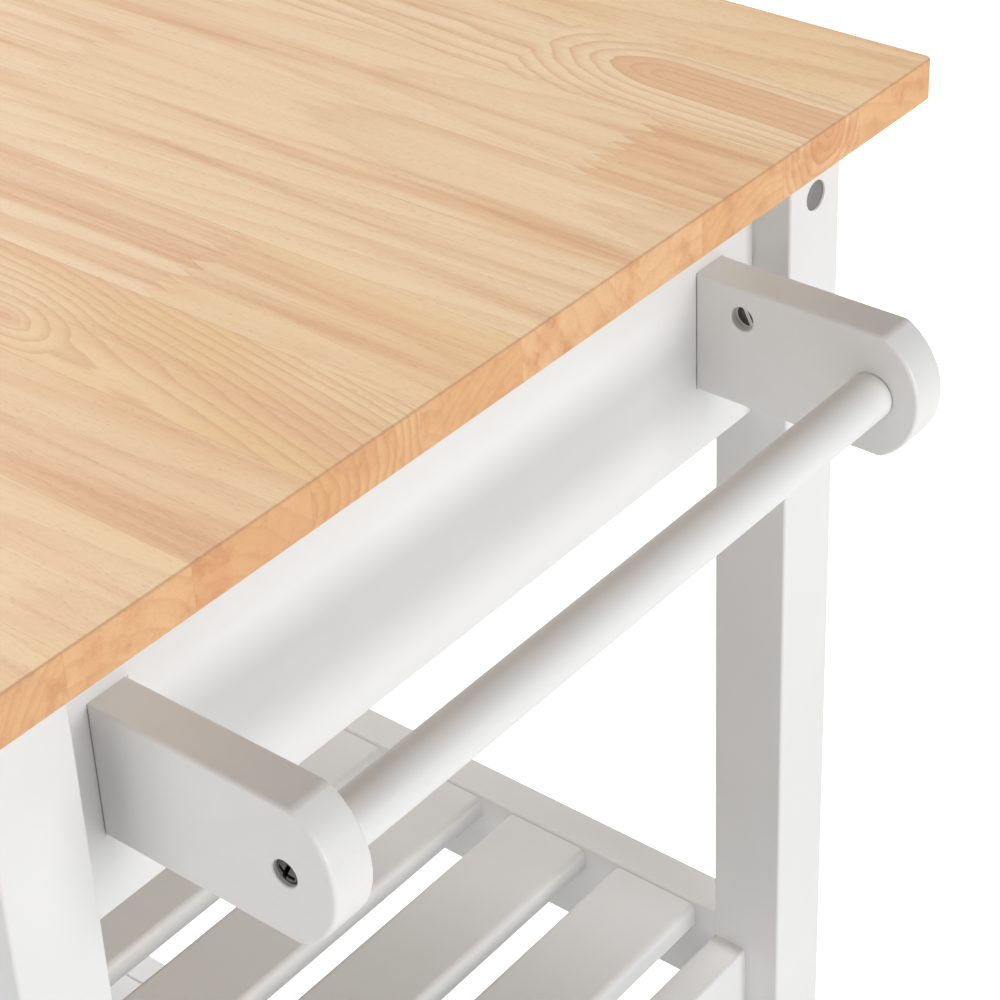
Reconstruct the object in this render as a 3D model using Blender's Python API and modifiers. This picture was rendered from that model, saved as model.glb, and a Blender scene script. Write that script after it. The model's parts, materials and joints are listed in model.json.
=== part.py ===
"""Kitchen island cart.

A butcher-block worktop on a white wooden frame, with two drawers, two slatted shelves,
a towel bar on one end and four swivel casters, two of them with brakes.

Metres, +Z up.  +X is the end with the towel bar and -Y is the front, with the drawers.
The origin is on the floor under the middle of the whole object's box.
"""

from math import asin, cos, pi, sin, sqrt

import bmesh
import bpy
from mathutils import Matrix, Vector

# ---- driving dimensions ---------------------------------------------------------------

GAP = 0.0003                 # left between two pieces that touch
EASE = 0.0012                # small bevel on wooden edges

# Overall
WORKTOP_LENGTH = 1.118
WORKTOP_DEPTH = 0.508
WORKTOP_THICKNESS = 0.018
WORKTOP_EDGE = 0.0025
CART_HEIGHT = 0.914
END_OVERHANG = 0.027         # worktop beyond the legs at each end
SIDE_OVERHANG = 0.023        # worktop beyond the legs at front and back

# Frame
LEG_SIZE = 0.036
BOARD_STOCK = 0.018          # aprons, drawer rails, divider and end shelf rails
APRON_HEIGHT = 0.134
BACK_APRON_INSET = 0.009     # from the back legs' outer face to the apron's
DRAWER_RAIL_HEIGHT = 0.018
CLEAT_SIZE = 0.016           # strips under the worktop, along the end aprons

# Shelves
UPPER_SHELF_TOP = 0.474
LOWER_SHELF_TOP = 0.180
SHELF_RAIL_HEIGHT = 0.050
SHELF_RAIL_THICKNESS = 0.020
SLAT_WIDTH = 0.0475
SLAT_THICKNESS = 0.0125
SLAT_GAP = 0.0185            # wished for; the slats share out what is left
SLAT_END_GAP = 0.011
SLAT_DROP = 0.002            # slat tops below the long rails' tops
SLAT_EDGE = 0.003
SLAT_TENON = 0.006           # slat ends glued into the long rails

# Towel bar
BRACKET_INSET = 0.021        # from the legs' inner face to the brackets' outer face
BRACKET_THICKNESS = 0.018
BRACKET_HEIGHT = 0.054
BRACKET_REACH = 0.1015       # from the end apron's face to the bracket's tip
BRACKET_TIP_DEPTH = 0.015    # how far the curve of the tip stands out
BRACKET_TOP_DROP = 0.0486    # below the worktop's underside
BAR_RADIUS = 0.0095
BAR_FROM_TIP = 0.0205        # from the bar's axis to the brackets' tips
SCREW_RECESS_RADIUS = 0.005
SCREW_RECESS_DEPTH = 0.004
BAR_SCREW_LENGTH = 0.036
BAR_SCREW_SHANK = 0.0022
BARREL_RADIUS = 0.005
BARREL_LENGTH = 0.012
BARREL_REACH = 0.0215        # from the apron's face to the barrel nut's axis
BARREL_DROP = 0.014          # below the bracket's top
BARREL_SUNK = 0.0012
DRIVER_SLOT_WIDTH = 0.0014
DRIVER_SLOT_DEPTH = 0.0008
CROSS_RECESS_LENGTH = 0.0056
CROSS_RECESS_WIDTH = 0.001
CROSS_RECESS_DEPTH = 0.0009
HEAD_CROWN = 0.8             # share of a round head's radius where its crown begins
HEAD_SHOULDER = 0.7          # share of its height that the crown's edge reaches
BOLT_RADIUS = 0.003
BOLT_HEAD_RADIUS = 0.006
BOLT_HEAD_HEIGHT = 0.003
HOLE_CLEARANCE = 0.0003

# Bolts through the back legs into the back apron
LEG_BOLT_DROP = 0.034
LEG_BOLT_HEAD_RADIUS = 0.0063
LEG_BOLT_BITE = 0.026        # length inside the back apron

# Drawers
DRAWER_REVEAL = 0.0025
DRAWER_MEETING_GAP = 0.003
DRAWER_SIDE_CLEARANCE = 0.002
DRAWER_RUN_CLEARANCE = 0.0008
DRAWER_BACK_CLEARANCE = 0.038
DRAWER_TOP_CLEARANCE = 0.0172    # from the sides' tops to the top rail
DRAWER_BACK_DROP = 0.0067    # the back's top below the sides' tops
DRAWER_STOCK = 0.012
DRAWER_BOTTOM_THICKNESS = 0.004
DRAWER_BOTTOM_LIFT = 0.009
GROOVE_DEPTH = 0.005
RUNNER_WIDTH = 0.017
KNOB_RADIUS = 0.015
KNOB_LENGTH = 0.0225
KNOB_NECK_RADIUS = 0.006
KNOB_NECK_DROP = 0.0125      # from the knob's face to its neck
KNOB_FOOT_RADIUS = 0.009
KNOB_FOOT_HEIGHT = 0.003
KNOB_CROWN = ((0, 0), (0.6, 0.0006), (0.92, 0.0025), (1, 0.0055), (0.88, 0.009))
#            ^ pairs of a share of the radius and a drop from the face
KNOB_SCREW_RADIUS = 0.002
KNOB_SCREW_HEAD_RADIUS = 0.004
KNOB_SCREW_HEAD_HEIGHT = 0.002
KNOB_SCREW_BITE = 0.011

# Casters
WHEEL_RADIUS = 0.025
WHEEL_WIDTH = 0.018
TYRE_THICKNESS = 0.004
TYRE_SHOULDER = 0.002        # chamfer of the tread's edges
TYRE_INSET = 0.001           # the tyre's sides, in from the hub's ends
WHEEL_WEB_WIDTH = 0.0099     # between the wheel's dished sides
HUB_RADIUS = 0.009
AXLE_RADIUS = 0.004
AXLE_CLEARANCE = 0.00015
CASTER_TRAIL = 0.018         # from the swivel axis to the axle, along +X at rest
FORK_PLATE = 0.002
FORK_SIDE_CLEARANCE = 0.0015
FORK_WEB_MARGIN = 0.0025     # of the web's disc outside the cheeks
FORK_WEB_THICKNESS = 0.0025
FORK_WEB_LIFT = 0.003        # above the top of the wheel
FORK_EYE_RADIUS = 0.0075
RIVET_HEIGHT = 0.001         # of the axle's ends outside the cheeks
FORK_SHOULDER = 0.009
STEM_RADIUS = 0.005
STEM_LENGTH = 0.028
FLANGE_RADIUS = 0.016
FLANGE_THICKNESS = 0.003
RACEWAY_RADIUS = 0.012
RACEWAY_HEIGHT = 0.0027
KINGPIN_RADIUS = 0.004
KINGPIN_HEAD_RADIUS = 0.0065
KINGPIN_HEAD_HEIGHT = 0.0018
SWIVEL_CLEARANCE = 0.0005
PEDAL_PLATE = 0.0018
PEDAL_PIVOT_RISE = 0.017     # above the axle
PEDAL_STUD_RADIUS = 0.002
PEDAL_ARM_RADIUS = 0.0045
PEDAL_ARM_RISE = 0.001       # the arms' ends above and below the tread
PEDAL_TREAD_GAP = 0.00043    # from the pressed tread to the tyre
PEDAL_TREAD_LENGTH = 0.013
PEDAL_TREAD_THICKNESS = 0.003
PEDAL_PRESSED_TILT = 0.262   # radians below level, with the brake on
STUD_MARGIN = 3 * GAP        # of a pedal's stud beyond the pedal

ROUND = 24                   # sides of a large round piece
SMALL_ROUND = 16             # sides of a fastener

# ---- places that follow from them -----------------------------------------------------

UNDERSIDE = CART_HEIGHT - WORKTOP_THICKNESS
HALF_LENGTH = WORKTOP_LENGTH / 2
LEG_OUT_X = HALF_LENGTH - END_OVERHANG
LEG_OUT_Y = WORKTOP_DEPTH / 2 - SIDE_OVERHANG
LEG_IN_X = LEG_OUT_X - LEG_SIZE
LEG_IN_Y = LEG_OUT_Y - LEG_SIZE
LEG_MID_X = LEG_OUT_X - LEG_SIZE / 2
LEG_MID_Y = LEG_OUT_Y - LEG_SIZE / 2
APRON_OUT_X = LEG_IN_X + BOARD_STOCK
APRON_BOTTOM = UNDERSIDE - APRON_HEIGHT
BACK_APRON_OUT = LEG_OUT_Y - BACK_APRON_INSET
BACK_APRON_IN = BACK_APRON_OUT - BOARD_STOCK
BACK_APRON_MID = (BACK_APRON_OUT + BACK_APRON_IN) / 2
END_RAIL_DROP = SLAT_DROP + SLAT_THICKNESS       # end rails lie just under the slats
RAIL_OUT_Y = LEG_IN_Y + BOARD_STOCK
BAR_REACH = BRACKET_REACH - BAR_FROM_TIP
BRACKET_MID_Y = LEG_IN_Y - BRACKET_INSET - BRACKET_THICKNESS / 2
BRACKET_MID_Z = UNDERSIDE - BRACKET_TOP_DROP - BRACKET_HEIGHT / 2
TIP_BEYOND_WORKTOP = max(0.0, APRON_OUT_X + BRACKET_REACH - HALF_LENGTH)
CART_X = -TIP_BEYOND_WORKTOP / 2     # the worktop's middle, seen from the origin

FORK_WEB_BOTTOM = 2 * WHEEL_RADIUS + FORK_WEB_LIFT
FORK_WEB_TOP = FORK_WEB_BOTTOM + FORK_WEB_THICKNESS
FORK_CHEEK_IN = WHEEL_WIDTH / 2 + FORK_SIDE_CLEARANCE
FORK_CHEEK_OUT = FORK_CHEEK_IN + FORK_PLATE
FORK_WEB_RADIUS = FORK_CHEEK_OUT + FORK_WEB_MARGIN
RACEWAY_BOTTOM = FORK_WEB_TOP + SWIVEL_CLEARANCE
FLANGE_TOP = RACEWAY_BOTTOM + RACEWAY_HEIGHT + FLANGE_THICKNESS
LEG_BOTTOM = FLANGE_TOP + GAP
PEDAL_HALF = PEDAL_TREAD_THICKNESS / 2
PEDAL_DIP = PEDAL_PIVOT_RISE * sin(PEDAL_PRESSED_TILT)
PEDAL_LIFT = PEDAL_PIVOT_RISE * cos(PEDAL_PRESSED_TILT) - PEDAL_HALF
# The pressed tread starts where its lower inner corner is the tread's gap off the tyre: in the
# pedal's own frame that corner lies PEDAL_LIFT above the axle and its start less PEDAL_DIP out.
PEDAL_TREAD_START = PEDAL_DIP + sqrt((WHEEL_RADIUS + PEDAL_TREAD_GAP) ** 2 - PEDAL_LIFT ** 2)


# ---- tools ----------------------------------------------------------------------------

def clear_scene():
    for item in list(bpy.data.objects):
        bpy.data.objects.remove(item, do_unlink=True)


def new_collection(name):
    collection = bpy.data.collections.new(name)
    bpy.context.scene.collection.children.link(collection)
    return collection


def finish_material(name, color, roughness, metallic=0.0):
    material = bpy.data.materials.new(name)
    material.use_nodes = True
    shader = material.node_tree.nodes["Principled BSDF"]
    shader.inputs["Base Color"].default_value = (*color, 1.0)
    shader.inputs["Roughness"].default_value = roughness
    shader.inputs["Metallic"].default_value = metallic
    material.diffuse_color = (*color, 1.0)
    return material


clear_scene()
CART = new_collection("kitchen_island_cart")
CUTTERS = new_collection("cutters")
JOINTS = new_collection("joint_axes")

FINISH = {
    "butcher_block": ((0.80, 0.58, 0.35), 0.45),
    "white_paint": ((0.86, 0.86, 0.85), 0.38),
    "drawer_wood": ((0.78, 0.66, 0.48), 0.55),
    "zinc": ((0.45, 0.45, 0.44), 0.40, 1.0),
    "nickel": ((0.62, 0.60, 0.57), 0.28, 1.0),
    "caster_steel": ((0.70, 0.71, 0.72), 0.30, 1.0),
    "tyre_rubber": ((0.16, 0.16, 0.17), 0.65),
    "pedal_plastic": ((0.10, 0.10, 0.11), 0.50),
}
MATERIALS = {}
for finish, values in FINISH.items():
    MATERIALS[finish] = finish_material(finish, *values)


def add_object(name, mesh, finish, location):
    """Link a mesh as a sub-part, or as a cutter when it has no finish."""
    item = bpy.data.objects.new(name, mesh)
    item.location = Vector(location)
    if finish is None:
        CUTTERS.objects.link(item)
        item.hide_render = True
        item.display_type = "WIRE"
    else:
        CART.objects.link(item)
        mesh.materials.append(MATERIALS[finish])
    return item


def bevel(item, width, segments=1):
    modifier = item.modifiers.new("eased edges", "BEVEL")
    modifier.width = width
    modifier.segments = segments
    modifier.limit_method = "ANGLE"
    modifier.angle_limit = 0.7


def box_mesh(name, size):
    mesh = bpy.data.meshes.new(name)
    shape = bmesh.new()
    bmesh.ops.create_cube(shape, size=1.0)
    bmesh.ops.scale(shape, vec=size, verts=shape.verts)
    shape.to_mesh(mesh)
    shape.free()
    return mesh


def block(name, finish, low, high, edge=EASE):
    """A rectangular piece between two corners, in the cart's own frame."""
    low = Vector(low)
    high = Vector(high)
    item = add_object(name, box_mesh(name, high - low), finish, (low + high) / 2)
    item.location.x += CART_X
    if edge:
        bevel(item, edge)
    return item


AXIS_TURN = {
    "Z": Matrix.Identity(3),
    "X": Matrix.Rotation(pi / 2, 3, "Y"),
    "-X": Matrix.Rotation(-pi / 2, 3, "Y"),
    "Y": Matrix.Rotation(-pi / 2, 3, "X"),
    "-Y": Matrix.Rotation(pi / 2, 3, "X"),
}


def rod(name, finish, start, axis, length, radius, sides=SMALL_ROUND):
    """A round bar that starts at a point and runs along an axis."""
    mesh = bpy.data.meshes.new(name)
    shape = bmesh.new()
    bmesh.ops.create_cone(shape, cap_ends=True, segments=sides, radius1=radius, radius2=radius,
                          depth=length)
    bmesh.ops.translate(shape, vec=(0, 0, length / 2), verts=shape.verts)
    shape.to_mesh(mesh)
    shape.free()
    item = add_object(name, mesh, finish, start)
    item.location.x += CART_X
    item.rotation_euler = AXIS_TURN[axis].to_euler()
    return item


def turned(name, finish, start, axis, profile, sides=ROUND):
    """A turned piece.  The profile is (radius, height) pairs from the top down."""
    mesh = bpy.data.meshes.new(name)
    points = [(radius, 0.0, height) for radius, height in profile]
    edges = [(index, index + 1) for index in range(len(points) - 1)]
    if profile[0][0] > 0 and profile[-1][0] > 0:
        edges.append((len(points) - 1, 0))
    mesh.from_pydata(points, edges, [])
    item = add_object(name, mesh, finish, start)
    item.location.x += CART_X
    item.rotation_euler = AXIS_TURN[axis].to_euler()
    screw = item.modifiers.new("turning", "SCREW")
    screw.steps = sides
    screw.render_steps = sides
    screw.use_merge_vertices = True
    screw.merge_threshold = 0.00001
    screw.use_smooth_shade = False
    return item


def arc(center, radius, start, end, pieces):
    """Points along a circle's arc, both ends included; angles in radians."""
    points = []
    for step in range(pieces + 1):
        angle = start + (end - start) * step / pieces
        points.append((center[0] + radius * cos(angle), center[1] + radius * sin(angle)))
    return points


def upright_plate(name, finish, outline, thickness, location):
    """A flat plate from an outline in X and Z, with its middle plane at the location's Y."""
    curve = bpy.data.curves.new(name, "CURVE")
    curve.dimensions = "2D"
    curve.fill_mode = "BOTH"
    curve.extrude = thickness / 2
    spline = curve.splines.new("POLY")
    spline.points.add(len(outline) - 1)
    for point, (across, up) in zip(spline.points, outline):
        point.co = (across, up, 0.0, 1.0)
    spline.use_cyclic_u = True
    guide = bpy.data.objects.new(name + "_outline", curve)
    CUTTERS.objects.link(guide)
    guide.location = Vector(location) + Vector((CART_X, 0, 0))
    guide.rotation_euler = (pi / 2, 0, 0)
    bpy.context.view_layer.update()
    evaluated = guide.evaluated_get(bpy.context.evaluated_depsgraph_get())
    mesh = bpy.data.meshes.new_from_object(evaluated)
    place = guide.matrix_world.copy()
    bpy.data.objects.remove(guide)
    shape = bmesh.new()
    shape.from_mesh(mesh)
    bmesh.ops.remove_doubles(shape, verts=shape.verts, dist=0.00001)
    bmesh.ops.dissolve_limit(shape, angle_limit=0.01, verts=shape.verts, edges=shape.edges)
    bmesh.ops.recalc_face_normals(shape, faces=shape.faces)
    shape.to_mesh(mesh)
    shape.free()
    mesh.materials.clear()
    item = add_object(name, mesh, finish, (0, 0, 0))
    item.matrix_world = place
    return item


def combine(item, others, operation):
    """Cut others from the item, or join them to it, with exact Booleans."""
    for other in others:
        modifier = item.modifiers.new(other.name, "BOOLEAN")
        modifier.operation = operation
        modifier.object = other
        modifier.solver = "EXACT"


def cut(item, *cutters):
    combine(item, cutters, "DIFFERENCE")


def join(item, *additions):
    combine(item, additions, "UNION")


def joint_axis(name, location):
    """An empty on a joint's axis, in the cart's own frame."""
    empty = bpy.data.objects.new(name, None)
    empty.empty_display_size = 0.03
    empty.location = Vector(location) + Vector((CART_X, 0, 0))
    JOINTS.objects.link(empty)
    return empty


def hang(joint, pieces):
    """Parent pieces to a joint's empty without moving them."""
    for piece in pieces:
        piece.parent = joint
        piece.matrix_parent_inverse = Matrix.Translation(-joint.location)


# ---- worktop and frame ----------------------------------------------------------------

def make_worktop():
    half_depth = WORKTOP_DEPTH / 2
    block("worktop", "butcher_block", (-HALF_LENGTH, -half_depth, UNDERSIDE),
          (HALF_LENGTH, half_depth, CART_HEIGHT), edge=WORKTOP_EDGE)


def make_leg(name, side_x, side_y):
    inner = (side_x * LEG_IN_X, side_y * LEG_IN_Y)
    outer = (side_x * LEG_OUT_X, side_y * LEG_OUT_Y)
    low = (min(inner[0], outer[0]), min(inner[1], outer[1]), LEG_BOTTOM)
    high = (max(inner[0], outer[0]), max(inner[1], outer[1]), UNDERSIDE - GAP)
    leg = block("leg_" + name, "white_paint", low, high)
    mid = (side_x * LEG_MID_X, side_y * LEG_MID_Y)
    socket = rod("stem_socket_" + name, None, (*mid, FLANGE_TOP), "Z",
                 STEM_LENGTH + GAP + HOLE_CLEARANCE, STEM_RADIUS + HOLE_CLEARANCE)
    cut(leg, socket)
    return leg


def make_end_apron(name, side_x):
    inner = side_x * LEG_IN_X
    outer = side_x * APRON_OUT_X
    return block("end_apron_" + name, "white_paint",
                 (min(inner, outer), -LEG_IN_Y + GAP, APRON_BOTTOM),
                 (max(inner, outer), LEG_IN_Y - GAP, UNDERSIDE - GAP))


def make_back_apron():
    return block("back_apron", "white_paint",
                 (-LEG_IN_X + GAP, BACK_APRON_IN, APRON_BOTTOM),
                 (LEG_IN_X - GAP, BACK_APRON_OUT, UNDERSIDE - GAP))


def make_drawer_rails():
    for name, bottom, top in (
            ("drawer_rail_top", UNDERSIDE - DRAWER_RAIL_HEIGHT, UNDERSIDE - GAP),
            ("drawer_rail_bottom", APRON_BOTTOM, APRON_BOTTOM + DRAWER_RAIL_HEIGHT)):
        block(name, "white_paint", (-LEG_IN_X + GAP, -RAIL_OUT_Y, bottom),
              (LEG_IN_X - GAP, -LEG_IN_Y - GAP, top))


def make_drawer_divider():
    """The upright between the drawers, with a ledge on each side for their inner runners."""
    half = BOARD_STOCK / 2
    front = -LEG_IN_Y
    back = BACK_APRON_IN - GAP
    divider = block("drawer_divider", "white_paint", (-half, front, APRON_BOTTOM),
                    (half, back, UNDERSIDE - GAP), edge=0)
    ledge = block("divider_ledges", None, (-half - RUNNER_WIDTH, front, APRON_BOTTOM),
                  (half + RUNNER_WIDTH, back, APRON_BOTTOM + DRAWER_RAIL_HEIGHT), edge=0)
    join(divider, ledge)


def make_runners_and_cleats():
    for name, side_x in (("left", -1), ("right", 1)):
        for kind, width, bottom, top in (
                ("drawer_runner_", RUNNER_WIDTH, APRON_BOTTOM, APRON_BOTTOM + DRAWER_RAIL_HEIGHT),
                ("worktop_cleat_", CLEAT_SIZE, UNDERSIDE - CLEAT_SIZE, UNDERSIDE - GAP)):
            near = side_x * (LEG_IN_X - GAP)
            far = side_x * (LEG_IN_X - GAP - width)
            block(kind + name, "white_paint",
                  (min(near, far), -LEG_IN_Y, bottom), (max(near, far), LEG_IN_Y, top))


def make_leg_bolt(name, side_x, leg, apron):
    """A flat-headed bolt through a back leg into the end of the back apron."""
    axis = "-X" if side_x > 0 else "X"
    place = (side_x * LEG_OUT_X, BACK_APRON_MID, UNDERSIDE - LEG_BOLT_DROP)
    reach = LEG_SIZE + LEG_BOLT_BITE
    bolt = turned("leg_bolt_" + name, "zinc", place, axis,
                  [(0, reach), (BOLT_RADIUS, reach), (BOLT_RADIUS, BOLT_HEAD_HEIGHT),
                   (LEG_BOLT_HEAD_RADIUS, BOLT_HEAD_HEIGHT), (LEG_BOLT_HEAD_RADIUS, GAP),
                   (0, GAP)])
    space = turned("leg_bolt_hole_" + name, None, place, axis,
                   [(0, reach + 2 * GAP), (BOLT_RADIUS + HOLE_CLEARANCE, reach + 2 * GAP),
                    (BOLT_RADIUS + HOLE_CLEARANCE, BOLT_HEAD_HEIGHT + GAP),
                    (LEG_BOLT_HEAD_RADIUS + HOLE_CLEARANCE, BOLT_HEAD_HEIGHT + GAP),
                    (LEG_BOLT_HEAD_RADIUS + HOLE_CLEARANCE, -GAP), (0, -GAP)])
    cut(leg, space)
    cut(apron, space)
    return bolt


# ---- shelves --------------------------------------------------------------------------

def slat_centers():
    """The slats' middles along X: as many as the wished gap allows, evenly shared out."""
    room = 2 * LEG_IN_X - 2 * SLAT_END_GAP - SLAT_WIDTH
    spaces = max(1, round(room / (SLAT_WIDTH + SLAT_GAP)))
    first = -LEG_IN_X + SLAT_END_GAP + SLAT_WIDTH / 2
    return [first + room * index / spaces for index in range(spaces + 1)]


def round_long_top_edges(shape, slat):
    """Round a slat's two long top edges; the slat runs along Y."""
    top = max(vertex.co.z for vertex in slat)
    chosen = set()
    for vertex in slat:
        for edge in vertex.link_edges:
            ends = edge.verts
            level = all(abs(end.co.z - top) < 0.00001 for end in ends)
            along = abs(ends[0].co.x - ends[1].co.x) < 0.00001
            if level and along:
                chosen.add(edge)
    bmesh.ops.bevel(shape, geom=list(chosen), offset=SLAT_EDGE, segments=2, profile=0.5,
                    affect="EDGES")


def make_shelf(name, top):
    """Slats glued into a front and a back rail, as one pre-assembled panel."""
    rails = bpy.data.meshes.new(name)
    shape = bmesh.new()
    rail_size = (2 * (LEG_IN_X - GAP), SHELF_RAIL_THICKNESS, SHELF_RAIL_HEIGHT)
    for side_y in (-1, 1):
        made = bmesh.ops.create_cube(shape, size=1.0)["verts"]
        bmesh.ops.scale(shape, vec=rail_size, verts=made)
        middle = side_y * (LEG_IN_Y + SHELF_RAIL_THICKNESS / 2)
        bmesh.ops.translate(shape, vec=(0, middle, -SHELF_RAIL_HEIGHT / 2), verts=made)
    shape.to_mesh(rails)
    shape.free()
    shelf = add_object(name, rails, "white_paint", (CART_X, 0, top))
    bevel(shelf, EASE)

    slats = bpy.data.meshes.new(name + "_slats")
    shape = bmesh.new()
    slat_size = (SLAT_WIDTH, 2 * (LEG_IN_Y + SLAT_TENON), SLAT_THICKNESS)
    for center in slat_centers():
        made = bmesh.ops.create_cube(shape, size=1.0)["verts"]
        bmesh.ops.scale(shape, vec=slat_size, verts=made)
        middle = -SLAT_DROP - SLAT_THICKNESS / 2
        bmesh.ops.translate(shape, vec=(center, 0, middle), verts=made)
        round_long_top_edges(shape, made)
    shape.to_mesh(slats)
    shape.free()
    join(shelf, add_object(name + "_slats", slats, None, (CART_X, 0, top)))

    for side, side_x in (("left", -1), ("right", 1)):
        inner = side_x * LEG_IN_X
        outer = side_x * APRON_OUT_X
        rail_top = top - END_RAIL_DROP
        block(name + "_end_rail_" + side, "white_paint",
              (min(inner, outer), -LEG_IN_Y + GAP, rail_top - SHELF_RAIL_HEIGHT),
              (max(inner, outer), LEG_IN_Y - GAP, rail_top))


# ---- towel bar ------------------------------------------------------------------------

def bracket_outline():
    """A bar as high as the bracket, from the apron outwards, with a curved tip.

    The tip is an arc through both ends of the bar's height that stands out by its depth.
    """
    half = BRACKET_HEIGHT / 2
    radius = (half ** 2 + BRACKET_TIP_DEPTH ** 2) / (2 * BRACKET_TIP_DEPTH)
    turn = asin(half / radius)
    tip = arc((BRACKET_REACH - radius, 0), radius, -turn, turn, 14)
    return [(GAP, -half)] + tip + [(GAP, half)]


def make_bracket(name, side_y):
    """A bracket; its bar screw's recess is outside and its barrel nut's hole inside."""
    mid_y = side_y * BRACKET_MID_Y
    outer_y = mid_y + side_y * BRACKET_THICKNESS / 2
    inner_y = mid_y - side_y * BRACKET_THICKNESS / 2
    inward = "-Y" if side_y > 0 else "Y"
    outward = "Y" if side_y > 0 else "-Y"
    bar_x = APRON_OUT_X + BAR_REACH
    nut_x = APRON_OUT_X + BARREL_REACH
    nut_z = BRACKET_MID_Z + BRACKET_HEIGHT / 2 - BARREL_DROP

    bracket = upright_plate("towel_bracket_" + name, "white_paint", bracket_outline(),
                            BRACKET_THICKNESS, (APRON_OUT_X, mid_y, BRACKET_MID_Z))
    bevel(bracket, EASE)
    recess = turned("screw_recess_" + name, None, (bar_x, outer_y, BRACKET_MID_Z), inward,
                    [(0, BRACKET_THICKNESS + GAP),
                     (BAR_SCREW_SHANK + HOLE_CLEARANCE, BRACKET_THICKNESS + GAP),
                     (BAR_SCREW_SHANK + HOLE_CLEARANCE, SCREW_RECESS_DEPTH),
                     (SCREW_RECESS_RADIUS, SCREW_RECESS_DEPTH), (SCREW_RECESS_RADIUS, -GAP),
                     (0, -GAP)], sides=SMALL_ROUND)
    nut_depth = BARREL_SUNK + BARREL_LENGTH + 2 * GAP
    nut_hole = rod("barrel_hole_" + name, None, (nut_x, inner_y - side_y * GAP, nut_z), outward,
                   nut_depth, BARREL_RADIUS + HOLE_CLEARANCE)
    bolt_hole = rod("bracket_bolt_hole_" + name, None,
                    (LEG_IN_X - GAP, mid_y, nut_z), "X",
                    APRON_OUT_X + BARREL_REACH - LEG_IN_X + BARREL_RADIUS,
                    BOLT_RADIUS + HOLE_CLEARANCE)
    cut(bracket, recess, nut_hole, bolt_hole)

    nut = rod("barrel_nut_" + name, "zinc", (nut_x, inner_y + side_y * BARREL_SUNK, nut_z),
              outward, BARREL_LENGTH, BARREL_RADIUS)
    slot_y = inner_y + side_y * BARREL_SUNK
    slot = block("barrel_slot_" + name, None,
                 (nut_x - 2 * BARREL_RADIUS, slot_y - DRIVER_SLOT_DEPTH,
                  nut_z - DRIVER_SLOT_WIDTH / 2),
                 (nut_x + 2 * BARREL_RADIUS, slot_y + DRIVER_SLOT_DEPTH,
                  nut_z + DRIVER_SLOT_WIDTH / 2), edge=0)
    cut(nut, bolt_hole, slot)
    return bolt_hole, nut_z


def make_bracket_bolt(name, side_y, apron, bolt_hole, height):
    """The bolt from inside the end apron into the bracket's barrel nut."""
    mid_y = side_y * BRACKET_MID_Y
    length = APRON_OUT_X + BARREL_REACH - LEG_IN_X
    place = (LEG_IN_X, mid_y, height)
    turned("bracket_bolt_" + name, "zinc", place, "X",
           [(0, length), (BOLT_RADIUS, length), (BOLT_RADIUS, BOLT_HEAD_HEIGHT),
            (BOLT_HEAD_RADIUS, BOLT_HEAD_HEIGHT), (BOLT_HEAD_RADIUS, GAP), (0, GAP)],
           sides=SMALL_ROUND)
    seat = rod("bolt_seat_" + name, None, (LEG_IN_X - GAP, mid_y, height), "X",
               BOLT_HEAD_HEIGHT + 2 * GAP, BOLT_HEAD_RADIUS + HOLE_CLEARANCE)
    cut(apron, bolt_hole, seat)


def make_towel_bar():
    """The bar between the brackets, and the two screws that hold its ends."""
    bar_x = APRON_OUT_X + BAR_REACH
    half = BRACKET_MID_Y - BRACKET_THICKNESS / 2 - GAP
    bar = rod("towel_bar", "white_paint", (bar_x, -half, BRACKET_MID_Z), "Y", 2 * half,
              BAR_RADIUS, sides=ROUND)
    for name, side_y in (("front", -1), ("back", 1)):
        inward = "-Y" if side_y > 0 else "Y"
        head_y = side_y * (BRACKET_MID_Y + BRACKET_THICKNESS / 2 - SCREW_RECESS_DEPTH + GAP)
        head_radius = SCREW_RECESS_RADIUS - 3 * GAP
        head_height = SCREW_RECESS_DEPTH / 2
        screw = turned("bar_screw_" + name, "zinc", (bar_x, head_y, BRACKET_MID_Z), inward,
                       [(0, BAR_SCREW_LENGTH), (BAR_SCREW_SHANK, BAR_SCREW_LENGTH),
                        (BAR_SCREW_SHANK, 0), (head_radius, 0),
                        (head_radius * HEAD_CROWN, -head_height * HEAD_SHOULDER),
                        (0, -head_height)],
                       sides=SMALL_ROUND)
        face_y = head_y + side_y * head_height
        for across, up in ((CROSS_RECESS_LENGTH / 2, CROSS_RECESS_WIDTH / 2),
                           (CROSS_RECESS_WIDTH / 2, CROSS_RECESS_LENGTH / 2)):
            cross = block("cross_%s_%d" % (name, across > up), None,
                          (bar_x - across, face_y - CROSS_RECESS_DEPTH, BRACKET_MID_Z - up),
                          (bar_x + across, face_y + CROSS_RECESS_DEPTH, BRACKET_MID_Z + up),
                          edge=0)
            cut(screw, cross)
        pilot = rod("bar_pilot_" + name, None, (bar_x, side_y * (half + GAP), BRACKET_MID_Z),
                    inward, BAR_SCREW_LENGTH, BAR_SCREW_SHANK + HOLE_CLEARANCE)
        cut(bar, pilot)


# ---- drawers --------------------------------------------------------------------------

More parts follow.
